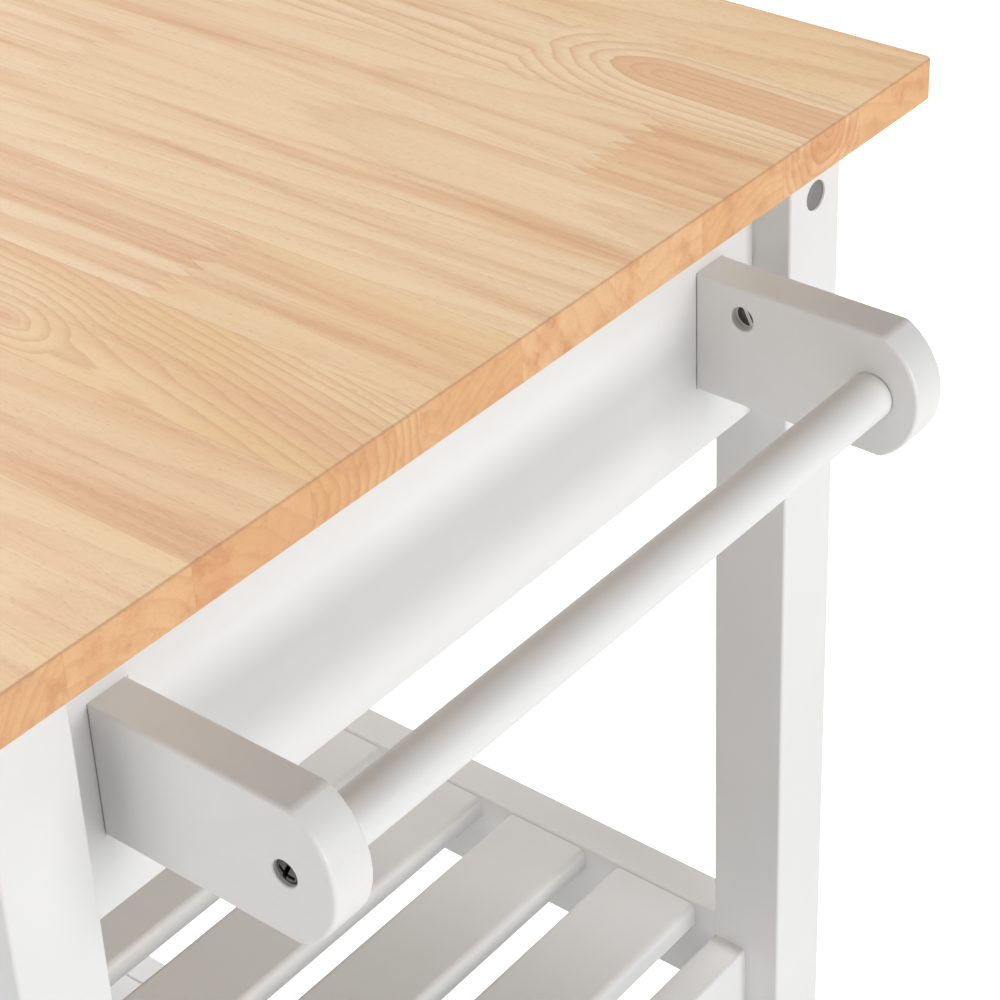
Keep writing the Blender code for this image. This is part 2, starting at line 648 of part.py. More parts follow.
def make_drawer(name, side_x):
    """A drawer: an overlaid front with a knob, two sides, a back and a sunk bottom."""
    outer = side_x * (LEG_IN_X - DRAWER_SIDE_CLEARANCE)
    inner = side_x * (BOARD_STOCK / 2 + DRAWER_SIDE_CLEARANCE)
    left = min(outer, inner)
    right = max(outer, inner)
    front_y = -LEG_OUT_Y
    box_front = -RAIL_OUT_Y - GAP
    box_back = BACK_APRON_IN - DRAWER_BACK_CLEARANCE
    floor = APRON_BOTTOM + DRAWER_RAIL_HEIGHT + DRAWER_RUN_CLEARANCE
    side_top = UNDERSIDE - DRAWER_RAIL_HEIGHT - DRAWER_TOP_CLEARANCE
    panel_low = floor + DRAWER_BOTTOM_LIFT
    panel_high = panel_low + DRAWER_BOTTOM_THICKNESS

    face_far = side_x * (LEG_IN_X - DRAWER_REVEAL)
    face_near = side_x * DRAWER_MEETING_GAP / 2
    front = block("drawer_front_" + name, "white_paint",
                  (min(face_far, face_near), front_y, APRON_BOTTOM + DRAWER_REVEAL),
                  (max(face_far, face_near), box_front, UNDERSIDE - DRAWER_REVEAL))
    groove = block("drawer_groove_" + name, None,
                   (left + DRAWER_STOCK - GROOVE_DEPTH, box_front - GROOVE_DEPTH,
                    panel_low - GAP),
                   (right - DRAWER_STOCK + GROOVE_DEPTH, box_back + GROOVE_DEPTH,
                    panel_high + GAP), edge=0)
    pieces = [front]
    for side, low_x in (("left", left), ("right", right - DRAWER_STOCK)):
        board = block("drawer_%s_side_%s" % (name, side), "drawer_wood",
                      (low_x, box_front + GAP, floor),
                      (low_x + DRAWER_STOCK, box_back, side_top), edge=0)
        cut(board, groove)
        pieces.append(board)
    cut(front, groove)
    pieces.append(block("drawer_%s_back" % name, "drawer_wood",
                        (left + DRAWER_STOCK + GAP, box_back - DRAWER_STOCK, panel_high + GAP),
                        (right - DRAWER_STOCK - GAP, box_back, side_top - DRAWER_BACK_DROP),
                        edge=0))
    sunk = GROOVE_DEPTH - GAP
    pieces.append(block("drawer_%s_bottom" % name, "drawer_wood",
                        (left + DRAWER_STOCK - sunk, box_front - sunk, panel_low),
                        (right - DRAWER_STOCK + sunk, box_back, panel_high), edge=0))

    middle = (face_far + face_near) / 2
    height = (APRON_BOTTOM + UNDERSIDE) / 2
    crown = [(KNOB_RADIUS * share, KNOB_LENGTH - drop) for share, drop in KNOB_CROWN]
    knob = turned("drawer_knob_" + name, "nickel", (middle, front_y - GAP, height), "-Y",
                  crown + [(KNOB_NECK_RADIUS, KNOB_LENGTH - KNOB_NECK_DROP),
                           (KNOB_NECK_RADIUS, KNOB_FOOT_HEIGHT), (KNOB_FOOT_RADIUS, 0), (0, 0)])
    screw_start = box_front + KNOB_SCREW_HEAD_HEIGHT
    thickness = box_front - front_y
    reach = KNOB_SCREW_HEAD_HEIGHT + thickness + KNOB_SCREW_BITE
    screw = turned("knob_screw_" + name, "zinc", (middle, screw_start, height), "-Y",
                   [(0, reach), (KNOB_SCREW_RADIUS, reach),
                    (KNOB_SCREW_RADIUS, KNOB_SCREW_HEAD_HEIGHT - GAP),
                    (KNOB_SCREW_HEAD_RADIUS, KNOB_SCREW_HEAD_HEIGHT - GAP),
                    (KNOB_SCREW_HEAD_RADIUS * HEAD_SHOULDER, 0), (0, 0)], sides=SMALL_ROUND)
    hole = rod("knob_hole_" + name, None, (middle, screw_start, height), "-Y",
               reach + GAP, KNOB_SCREW_RADIUS + HOLE_CLEARANCE)
    cut(knob, hole)
    cut(front, hole)
    pieces += [knob, screw]
    hang(joint_axis("drawer_slide_" + name, (middle, front_y, floor)), pieces)


# ---- casters --------------------------------------------------------------------------

def make_caster_stem(name, place):
    """The threaded stem, its flange under the leg, and the kingpin that holds the fork."""
    head_top = FORK_WEB_BOTTOM - SWIVEL_CLEARANCE
    turned("caster_stem_" + name, "caster_steel", (*place, 0), "Z",
           [(0, FLANGE_TOP + STEM_LENGTH), (STEM_RADIUS, FLANGE_TOP + STEM_LENGTH),
            (STEM_RADIUS, FLANGE_TOP), (FLANGE_RADIUS, FLANGE_TOP),
            (FLANGE_RADIUS, FLANGE_TOP - FLANGE_THICKNESS),
            (RACEWAY_RADIUS, RACEWAY_BOTTOM),
            (KINGPIN_RADIUS, RACEWAY_BOTTOM), (KINGPIN_RADIUS, head_top),
            (KINGPIN_HEAD_RADIUS, head_top),
            (KINGPIN_HEAD_RADIUS, head_top - KINGPIN_HEAD_HEIGHT),
            (0, head_top - KINGPIN_HEAD_HEIGHT)], sides=SMALL_ROUND)


def cheek_outline():
    """One side plate of the fork: shoulders under the web, running down to the axle's eye."""
    top = FORK_WEB_TOP - GAP
    eye = arc((CASTER_TRAIL, WHEEL_RADIUS), FORK_EYE_RADIUS, -pi * 0.85, pi * 0.12, 10)
    return [(-FORK_SHOULDER, top), (-FORK_SHOULDER, top - FORK_WEB_THICKNESS * 2)] + eye + [
        (CASTER_TRAIL + FORK_EYE_RADIUS, WHEEL_RADIUS + PEDAL_PIVOT_RISE),
        (FORK_SHOULDER, top - FORK_WEB_THICKNESS), (FORK_SHOULDER, top)]


def make_fork(name, place, braked):
    """The swivelling fork with its riveted axle, and two studs where it has a brake pedal."""
    bore = KINGPIN_RADIUS + SWIVEL_CLEARANCE
    fork = turned("caster_fork_" + name, "caster_steel", (*place, 0), "Z",
                  [(FORK_WEB_RADIUS, FORK_WEB_TOP), (FORK_WEB_RADIUS, FORK_WEB_BOTTOM),
                   (bore, FORK_WEB_BOTTOM), (bore, FORK_WEB_TOP)])
    cheek_y = (FORK_CHEEK_IN + FORK_CHEEK_OUT) / 2
    parts = []
    for side_y in (-1, 1):
        parts.append(upright_plate("fork_cheek_%s_%d" % (name, side_y), None, cheek_outline(),
                                   FORK_PLATE, (place[0], place[1] + side_y * cheek_y, 0)))
    axle_half = FORK_CHEEK_OUT + RIVET_HEIGHT
    parts.append(rod("axle_" + name, None,
                     (place[0] + CASTER_TRAIL, place[1] - axle_half, WHEEL_RADIUS), "Y",
                     2 * axle_half, AXLE_RADIUS))
    if braked:
        for side_y, axis in ((-1, "-Y"), (1, "Y")):
            parts.append(rod("pedal_stud_%s_%d" % (name, side_y), None,
                             (place[0] + CASTER_TRAIL,
                              place[1] + side_y * cheek_y,
                              WHEEL_RADIUS + PEDAL_PIVOT_RISE), axis,
                             FORK_PLATE / 2 + PEDAL_PLATE + STUD_MARGIN, PEDAL_STUD_RADIUS))
    join(fork, *parts)
    return fork


def make_wheel(name, place):
    """A wheel with a raised tread band and a hub, turned about its axle."""
    half = WHEEL_WIDTH / 2
    bore = AXLE_RADIUS + AXLE_CLEARANCE
    rim = WHEEL_RADIUS - TYRE_THICKNESS
    web = WHEEL_WEB_WIDTH / 2
    side = half - TYRE_INSET
    shoulder = WHEEL_RADIUS - TYRE_SHOULDER
    return turned("caster_wheel_" + name, "tyre_rubber",
                  (place[0] + CASTER_TRAIL, place[1], WHEEL_RADIUS), "Y",
                  [(bore, half), (HUB_RADIUS, half), (HUB_RADIUS, web),
                   (rim - TYRE_INSET, web), (rim, side), (shoulder, side),
                   (WHEEL_RADIUS, side - TYRE_SHOULDER), (WHEEL_RADIUS, TYRE_SHOULDER - side),
                   (shoulder, -side), (rim, -side), (rim - TYRE_INSET, -web),
                   (HUB_RADIUS, -web), (HUB_RADIUS, -half), (bore, -half)])


def tilted_down(points, angle):
    """Turn outline points about the outline's origin, so that what lies at +X sinks."""
    return [(across * cos(angle) + up * sin(angle), up * cos(angle) - across * sin(angle))
            for across, up in points]


def make_pedal(name, place):
    """A brake pedal, pressed down: two arms outside the fork and a tread that meets the tyre."""
    pivot = (place[0] + CASTER_TRAIL, place[1], WHEEL_RADIUS + PEDAL_PIVOT_RISE)
    arm_y = FORK_CHEEK_OUT + GAP + PEDAL_PLATE / 2
    start = PEDAL_TREAD_START
    end = start + PEDAL_TREAD_LENGTH
    tread = [(start, -PEDAL_HALF), (end, -PEDAL_HALF), (end, PEDAL_HALF), (start, PEDAL_HALF)]
    arm_end = (start + end) / 2
    arm_rise = PEDAL_HALF + PEDAL_ARM_RISE
    arm = arc((0, 0), PEDAL_ARM_RADIUS, pi / 2, 3 * pi / 2, 8) + [
        (arm_end, -arm_rise), (arm_end, arm_rise)]
    pedal = upright_plate("brake_pedal_" + name, "pedal_plastic",
                          tilted_down(tread, PEDAL_PRESSED_TILT),
                          2 * arm_y + PEDAL_PLATE, pivot)
    arms = []
    for side_y in (-1, 1):
        arms.append(upright_plate("pedal_arm_%s_%d" % (name, side_y), None,
                                  tilted_down(arm, PEDAL_PRESSED_TILT), PEDAL_PLATE,
                                  (pivot[0], pivot[1] + side_y * arm_y, pivot[2])))
    join(pedal, *arms)
    hole = rod("pedal_bore_" + name, None, (pivot[0], pivot[1] - 2 * arm_y, pivot[2]), "Y",
               4 * arm_y, PEDAL_STUD_RADIUS + 2 * AXLE_CLEARANCE)
    cut(pedal, hole)
    return pedal


def make_caster(name, side_x, side_y):
    place = (side_x * LEG_MID_X, side_y * LEG_MID_Y)
    braked = side_y < 0
    make_caster_stem(name, place)
    fork = make_fork(name, place, braked)
    wheel = make_wheel(name, place)
    swivel = joint_axis("caster_swivel_" + name, (*place, LEG_BOTTOM))
    axle = joint_axis("wheel_axle_" + name, (place[0] + CASTER_TRAIL, place[1], WHEEL_RADIUS))
    hang(swivel, [fork])
    hang(axle, [wheel])
    hang(swivel, [axle])
    if braked:
        pedal = make_pedal(name, place)
        pivot = joint_axis("pedal_pivot_" + name, (place[0] + CASTER_TRAIL, place[1],
                                                   WHEEL_RADIUS + PEDAL_PIVOT_RISE))
        hang(pivot, [pedal])
        hang(swivel, [pivot])


# ---- the whole cart -------------------------------------------------------------------

def make_cart():
    make_worktop()
    legs = {}
    for name, side_x, side_y in (("front_left", -1, -1), ("front_right", 1, -1),
                                 ("back_left", -1, 1), ("back_right", 1, 1)):
        legs[name] = make_leg(name, side_x, side_y)
        make_caster(name, side_x, side_y)
    make_end_apron("left", -1)
    end_apron = make_end_apron("right", 1)
    back_apron = make_back_apron()
    make_drawer_rails()
    make_drawer_divider()
    make_runners_and_cleats()
    for name, side_x in (("left", -1), ("right", 1)):
        make_leg_bolt(name, side_x, legs["back_" + name], back_apron)
        make_drawer(name, side_x)
    make_shelf("upper_shelf", UPPER_SHELF_TOP)
    make_shelf("lower_shelf", LOWER_SHELF_TOP)
    for name, side_y in (("front", -1), ("back", 1)):
        bolt_hole, height = make_bracket(name, side_y)
        make_bracket_bolt(name, side_y, end_apron, bolt_hole, height)
    make_towel_bar()


make_cart()
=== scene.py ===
"""Looks of a kitchen island cart: fine surfaces, finishes and a small studio.

The cart's design comes ready made as a frame of named nodes and moving bodies.  Each operator
here builds the fine surfaces of one group of pieces in the place that the frame gives.
"""

import json

import bpy
import numpy as np
from bpy.props import FloatProperty, FloatVectorProperty, IntProperty, PointerProperty
from mathutils import Matrix, Vector


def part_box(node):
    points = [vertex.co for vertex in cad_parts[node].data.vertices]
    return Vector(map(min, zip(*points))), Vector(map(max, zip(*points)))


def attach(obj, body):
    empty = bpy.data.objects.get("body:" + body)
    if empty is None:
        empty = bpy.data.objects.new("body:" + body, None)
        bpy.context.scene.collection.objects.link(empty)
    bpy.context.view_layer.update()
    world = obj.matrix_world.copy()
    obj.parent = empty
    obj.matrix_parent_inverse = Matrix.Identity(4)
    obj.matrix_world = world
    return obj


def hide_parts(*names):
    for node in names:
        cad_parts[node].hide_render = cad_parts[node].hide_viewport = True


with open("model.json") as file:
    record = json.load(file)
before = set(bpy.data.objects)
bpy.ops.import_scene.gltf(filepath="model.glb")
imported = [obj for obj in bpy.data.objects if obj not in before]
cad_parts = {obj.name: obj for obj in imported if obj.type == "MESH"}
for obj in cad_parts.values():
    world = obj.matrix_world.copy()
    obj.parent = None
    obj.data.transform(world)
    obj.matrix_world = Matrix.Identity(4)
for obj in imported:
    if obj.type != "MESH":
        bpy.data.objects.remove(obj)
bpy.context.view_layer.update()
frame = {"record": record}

bl_info = {
    "name": "Kitchen Island Cart",
    "version": (1, 0, 0),
    "blender": (4, 5, 0),
    "location": "3D View > Sidebar > Cart",
    "description": "Builds the visible surfaces, finishes and studio of a kitchen island cart",
    "category": "Object",
}

CORNERS = ("front_left", "front_right", "back_left", "back_right")
QUARTER = np.pi / 2


# ---- settings -------------------------------------------------------------------------

def length(name, description, default):
    return FloatProperty(name=name, description=description, default=default, min=0.0,
                         unit="LENGTH", precision=4)


def color(name, description, default):
    return FloatVectorProperty(name=name, description=description, default=default, size=3,
                               subtype="COLOR", min=0.0, max=1.0)


class CartShapeSettings(bpy.types.PropertyGroup):
    """Radii of the eased edges, and how finely round things are divided."""

    worktop_edge: length("Worktop edge", "Rounding of the worktop's long edges", 0.0010)
    worktop_corner: length("Worktop corner", "Rounding of the worktop's four corners", 0.0035)
    wood_edge: length("Frame edge", "Rounding of the painted frame's edges", 0.0014)
    end_edge: length("End edge", "Rounding at the ends of painted rails", 0.0005)
    slat_edge: length("Slat edge", "Rounding of the slats' top edges", 0.0035)
    bracket_edge: length("Bracket edge", "Rounding of the towel brackets' edges", 0.0016)
    box_edge: length("Drawer edge", "Rounding of the drawer boxes' edges", 0.0010)
    metal_edge: length("Metal edge", "Rounding of stamped metal edges", 0.0003)
    arc_steps: IntProperty(name="Arc steps", description="Faces across a quarter round",
                           default=5, min=2, max=16)
    tuck: length("Tuck", "How far butted ends run into their neighbours", 0.0010)
    sides: IntProperty(name="Sides", description="Faces around a turned piece", default=64,
                       min=16, max=256)


class CartWoodSettings(bpy.types.PropertyGroup):
    """The butcher block: glued staves, each of short blocks joined end to end by fingers."""

    first_stave: length("First stave", "Width of the stave at the front edge", 0.038)
    stave_width: length("Stave width", "Width of the other staves", 0.0520)
    block_length: length("Block length", "Shortest length of a block in a stave", 0.42)
    first_joint: length("First joint", "Farthest first joint from the bar's end", 0.62)
    finger_pitch: length("Finger pitch", "Width of one finger of a joint", 0.0060)
    finger_length: length("Finger length", "Length of a joint's fingers", 0.0100)
    ring_spacing: length("Ring spacing", "Distance between growth rings", 0.0085)
    pale: color("Pale", "The palest blocks", (0.860, 0.660, 0.430))
    cream: color("Cream", "Most of the blocks", (0.835, 0.600, 0.352))
    honey: color("Honey", "The yellowest blocks", (0.810, 0.560, 0.290))
    blush: color("Blush", "Broad pinkish patches", (0.760, 0.470, 0.275))
    rose: color("Rose", "Streaks and late wood", (0.640, 0.345, 0.180))
    pore: color("Pore", "Pores and finger joints", (0.430, 0.200, 0.090))
    end_tint: color("End grain", "Tint of the sawn ends", (0.90, 0.71, 0.55))
    box_wood: color("Drawer wood", "Clear-coated wood of the drawer boxes", (0.700, 0.560, 0.370))


class CartPaintSettings(bpy.types.PropertyGroup):
    """The satin white paint of the frame."""

    white: color("White", "Paint on the flats", (0.765, 0.764, 0.759))
    thin: color("Thin edge", "Paint where it is thin, on the edges", (0.735, 0.722, 0.698))
    roughness: FloatProperty(name="Roughness", description="Roughness of the satin paint",
                             default=0.40, min=0.0, max=1.0)
    grain_depth: length("Grain depth", "How far the wood's grain shows through", 0.00005)


class CartHardwareSettings(bpy.types.PropertyGroup):
    """Metal, rubber and plastic."""

    zinc: color("Zinc", "Screws and bolts", (0.135, 0.132, 0.128))
    nickel: color("Nickel", "Drawer knobs", (0.60, 0.575, 0.54))
    steel: color("Steel", "Casters", (0.62, 0.625, 0.63))
    cap: color("Bolt cap", "Flat heads in the back legs", (0.300, 0.292, 0.280))
    rubber: color("Rubber", "Tyres", (0.085, 0.086, 0.090))
    hub: color("Hub", "Wheel hubs", (0.33, 0.335, 0.345))
    pedal: color("Pedal", "Brake pedals", (0.030, 0.030, 0.033))


class CartStudioSettings(bpy.types.PropertyGroup):
    """Camera and lights."""

    azimuth: FloatProperty(name="Azimuth", description="Round the cart, in degrees",
                           default=40.0)
    elevation: FloatProperty(name="Elevation", description="Above the horizon, in degrees",
                             default=31.21)
    roll: FloatProperty(name="Roll", description="Camera roll, in degrees", default=-2.63)
    lens: FloatProperty(name="Lens", description="Focal length on a 36 mm sensor",
                        default=98.106)
    drop: FloatProperty(name="Drop", description="Camera shift downwards, in frame heights",
                        default=0.15)
    camera_out: length("Camera out", "From the end apron's face, along X", 0.53513)
    camera_near: length("Camera near", "From the back leg's inner face, towards -Y", 0.79826)
    camera_up: length("Camera up", "Above the worktop's underside", 0.48104)
    key: FloatProperty(name="Key light", description="Power of the overhead light", default=540.0)
    side: FloatProperty(name="Side light", description="Power of the light at the bar's end",
                        default=41.0)
    fill: FloatProperty(name="Fill light", description="Power of the light at the front",
                        default=23.0)
    sky: FloatProperty(name="Surround", description="Light from the white surround",
                       default=0.29)
    floor_glow: FloatProperty(name="Floor glow", description="Added to the floor in view",
                              default=0.72)


SETTINGS = (
    ("cart_shape", CartShapeSettings),
    ("cart_wood", CartWoodSettings),
    ("cart_paint", CartPaintSettings),
    ("cart_hardware", CartHardwareSettings),
    ("cart_studio", CartStudioSettings),
)


# ---- outlines and surfaces ------------------------------------------------------------

def filleted(corners, radii, steps):
    """A closed outline with rounded corners.

    Each corner is cut back along both its sides by radius times the tangent of half its turn,
    and an arc whose centre lies off the corner by that radius joins the two cuts.  Returns the
    points, their outward normals, and a weight that is 1 in the middle of each arc.
    """
    corners = np.array(corners, float)
    before = corners - np.roll(corners, 1, axis=0)
    after = np.roll(corners, -1, axis=0) - corners
    before /= np.linalg.norm(before, axis=1)[:, None]
    after /= np.linalg.norm(after, axis=1)[:, None]
    cross = before[:, 0] * after[:, 1] - before[:, 1] * after[:, 0]
    turn = np.arctan2(cross, (before * after).sum(1))
    bend = np.sign(turn)
    radius = np.maximum(np.broadcast_to(np.array(radii, float), turn.shape), 1e-6)
    cut = radius * np.tan(np.abs(turn) / 2)
    out_before = np.stack([before[:, 1], -before[:, 0]], 1)
    center = corners - before * cut[:, None] - out_before * (bend * radius)[:, None]
    start = np.arctan2(out_before[:, 1], out_before[:, 0])
    share = np.linspace(0.0, 1.0, steps + 1)
    angle = start[:, None] + turn[:, None] * share[None, :]
    normal = np.stack([np.cos(angle), np.sin(angle)], 2)
    points = center[:, None, :] + normal * (bend * radius)[:, None, None]
    weight = np.broadcast_to(np.sin(np.pi * share), angle.shape)
    return points.reshape(-1, 2), normal.reshape(-1, 2), weight.reshape(-1)


def round_outline(radius, sides):
    """A circle of the radius; its normals are its directions and it has no corners."""
    angle = np.arange(sides) * 2 * np.pi / sides
    normal = np.stack([np.cos(angle), np.sin(angle)], 1)
    return normal * radius, normal, np.zeros(sides)


def on_axis(local, axis, origin):
    """Turn local (a, b, along) into X, Y, Z with 'along' on the named axis, then move it."""
    a, b, along = local[..., 0], local[..., 1], local[..., 2]
    order = {"Z": (a, b, along), "X": (along, a, b), "Y": (b, along, a)}
    return np.stack(order[axis], -1) + np.array(origin, float)


def build_mesh(name, points, faces, edge=None):
    """Make a mesh object whose place is in its mesh, with an edge weight on its points."""
    mesh = bpy.data.meshes.new(name)
    mesh.from_pydata(points.reshape(-1, 3).tolist(), [], faces)
    if edge is not None:
        mesh.attributes.new("edge", "FLOAT", "POINT").data.foreach_set(
            "value", np.ascontiguousarray(edge, np.float32).ravel())
    mesh.update()
    item = bpy.data.objects.new(name, mesh)
    bpy.context.scene.collection.objects.link(item)
    return item


def ring_quads(rings, count):
    """Quads between neighbouring rings of points, closed around each ring."""
    first = np.arange(rings - 1)[:, None] * count
    here = np.arange(count)[None, :]
    there = (here + 1) % count
    quads = np.stack([first + here, first + there, first + count + there,
                      first + count + here], -1)
    return quads.reshape(-1, 4).tolist()


def carried(name, outline, axis, origin, low, high, edge, steps):
    """Carry an outline along an axis from low to high, with its ends eased.

    Near each end the outline shrinks along its normals by edge times (1 - cos t) while it
    moves outwards by edge times sin t, for t from 0 to a quarter turn: a quarter round.
    """
    points, normals, weight = outline
    quarter = np.linspace(0.0, QUARTER, steps + 1)
    turn = np.concatenate([quarter[::-1], quarter])
    along = np.concatenate([low + edge - edge * np.sin(quarter[::-1]),
                            high - edge + edge * np.sin(quarter)])
    inset = edge * (1 - np.cos(turn))
    flat = points[None] - inset[:, None, None] * normals[None]
    height = np.broadcast_to(along[:, None, None], flat.shape[:2] + (1,))
    local = np.concatenate([flat, height], 2)
    easing = np.maximum(np.sin(2 * turn)[:, None], weight[None])
    rings, count = flat.shape[:2]
    faces = ring_quads(rings, count)
    faces.append(list(range(count - 1, -1, -1)))
    faces.append(list(range((rings - 1) * count, rings * count)))
    return build_mesh(name, on_axis(local, axis, origin), faces, easing)


PLANE = {"X": (1, 2), "Y": (2, 0), "Z": (0, 1)}


def board(name, low, high, axis, radii, end, steps):
    """A board between two corners: a rounded rectangle carried along its grain."""
    low = np.array(low, float)
    high = np.array(high, float)
    a, b = PLANE[axis]
    run = "XYZ".index(axis)
    corners = [(low[a], low[b]), (high[a], low[b]), (high[a], high[b]), (low[a], high[b])]
    outline = filleted(corners, radii, steps)
    return carried(name, outline, axis, (0, 0, 0), low[run], high[run], end, steps)


def turned(name, profile, axis, origin, sides):
    """Turn a profile of (radius, height) pairs, bottom to top, about an axis.

    A point at radius r and angle t lies at r cos t, r sin t.  A profile that starts or ends on
    the axis gets a pole there; one that does neither is closed into a ring.
    """
    profile = np.array(profile, float)
    low_pole = profile[0, 0] < 1e-7
    high_pole = profile[-1, 0] < 1e-7
    rim = profile[int(low_pole):len(profile) - int(high_pole)]
    angle = np.arange(sides) * 2 * np.pi / sides
    local = np.stack([rim[:, :1] * np.cos(angle), rim[:, :1] * np.sin(angle),
                      np.broadcast_to(rim[:, 1:], (len(rim), sides))], 2).reshape(-1, 3)
    faces = ring_quads(len(rim), sides)
    last = (len(rim) - 1) * sides
    here = np.arange(sides)
    there = (here + 1) % sides
    if not (low_pole or high_pole):
        faces += np.stack([last + here, last + there, there, here], 1).tolist()
    if low_pole:
        pole = np.full(sides, len(local))
        local = np.vstack([local, [0, 0, profile[0, 1]]])
        faces += np.stack([there, here, pole], 1).tolist()
    if high_pole:
        pole = np.full(sides, len(local))
        local = np.vstack([local, [0, 0, profile[-1, 1]]])
        faces += np.stack([last + here, last + there, pole], 1).tolist()
    return build_mesh(name, on_axis(local, axis, origin), faces)


def open_fillet(corners, radii, steps):
    """Round the inner corners of an open profile; its two ends stay where they are."""
    points, _, _ = filleted(corners, radii, steps)
    points = points.reshape(len(corners), -1, 2)
    return np.vstack([corners[0], points[1:-1].reshape(-1, 2), corners[-1]])


def cross_recess(x, y, radius):
    """Depth share of a cross-head recess: two crossed arms with soft walls."""
    def arm(across, along):
        wide = np.clip((radius * 0.13 - np.abs(across)) / (radius * 0.05) + 0.5, 0, 1)
        long = np.clip((radius * 0.62 - np.abs(along)) / (radius * 0.16) + 0.5, 0, 1)
        return wide * long
    return np.maximum(arm(x, y), arm(y, x))


def slot_recess(x, y, radius):
    """Depth share of a straight slot right across a head."""
    return np.clip((radius * 0.15 - np.abs(x)) / (radius * 0.05) + 0.5, 0, 1) + 0 * y


def no_recess(x, y, radius):
    """A head with no recess."""
    return 0 * x


def fastener_head(name, axis, sign, origin, radius, dome, depth, body, recess, turn=0.4):
    """A round head on a polar grid.

    Its height at radius r is dome times (1 - (r/R) squared), less the recess's depth where the
    recess's share is 1; the rim then drops to the back.  Sign says which way it looks.
    """
    sides, rings = 96, 40
    angle = np.arange(sides) * 2 * np.pi / sides * sign
    share = np.linspace(0.0, 1.0, rings + 1)[1:]
    reach = radius * share
    a = reach[:, None] * np.cos(angle)[None]
    b = reach[:, None] * np.sin(angle)[None]
    turned_a = a * np.cos(turn) + b * np.sin(turn)
    turned_b = b * np.cos(turn) - a * np.sin(turn)
    fade = 1 - np.clip((share - 0.93) / 0.07, 0, 1) ** 2 * 0.25
    height = dome * (1 - share[:, None] ** 2) - depth * recess(turned_a, turned_b, radius)
    height = height - radius * 0.06 * (1 - fade[:, None])
    top = np.stack([a, b, height], 2)
    back = top[-1:].copy()
    back[..., 2] = -body
    local = np.concatenate([back, top[::-1]]).reshape(-1, 3)
    pole = np.array([[0.0, 0.0, dome - depth * float(recess(np.zeros(1), np.zeros(1), radius)[0])]])
    local = np.vstack([local, pole])
    faces = ring_quads(rings + 1, sides)
    last = rings * sides
    here = np.arange(sides)
    there = (here + 1) % sides
    faces += np.stack([last + here, last + there, np.full(sides, len(local) - 1)], 1).tolist()
    faces.append(list(range(sides - 1, -1, -1)))
    local = local * np.array([1.0, 1.0, sign])
    return build_mesh(name, on_axis(local, axis, origin), faces)


def drill(piece, axis, mouth, sign, radius, depth, flare=0.0004):
    """Cut a round hole with a small flare at its mouth; sign points out of the hole."""
    profile = [(0, -depth), (radius, -depth), (radius, -flare), (radius + flare, 0.0),
               (radius + flare, 0.002), (0, 0.002)]
    profile = np.array(profile) * np.array([1.0, sign])
    if sign < 0:
        profile = profile[::-1]
    cutter = turned(piece.name + "_cutter", profile, axis, mouth, 48)
    modifier = piece.modifiers.new("hole", "BOOLEAN")
    modifier.operation = "DIFFERENCE"
    modifier.solver = "EXACT"
    modifier.object = cutter
    bpy.context.view_layer.update()
    evaluated = piece.evaluated_get(bpy.context.evaluated_depsgraph_get())
    mesh = bpy.data.meshes.new_from_object(evaluated)
    piece.modifiers.clear()
    piece.data = mesh
    bpy.data.objects.remove(cutter)
    return piece


# ---- finishing a piece ----------------------------------------------------------------

SHARP = 0.75


def finish_piece(piece, material, body, slot, *nodes):
    """Shade a piece, give it its material, and let it ride in place of its CAD nodes."""
    piece.data.materials.clear()
    piece.data.materials.append(material)
    piece.data.shade_smooth()
    piece.data.set_sharp_from_angle(angle=SHARP)
    normals = piece.modifiers.new("flat faces stay flat", "WEIGHTED_NORMAL")
    normals.keep_sharp = True
    normals.weight = 60
    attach(piece, body)
    if nodes:
        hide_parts(*nodes)
    return piece


# ---- materials ------------------------------------------------------------------------

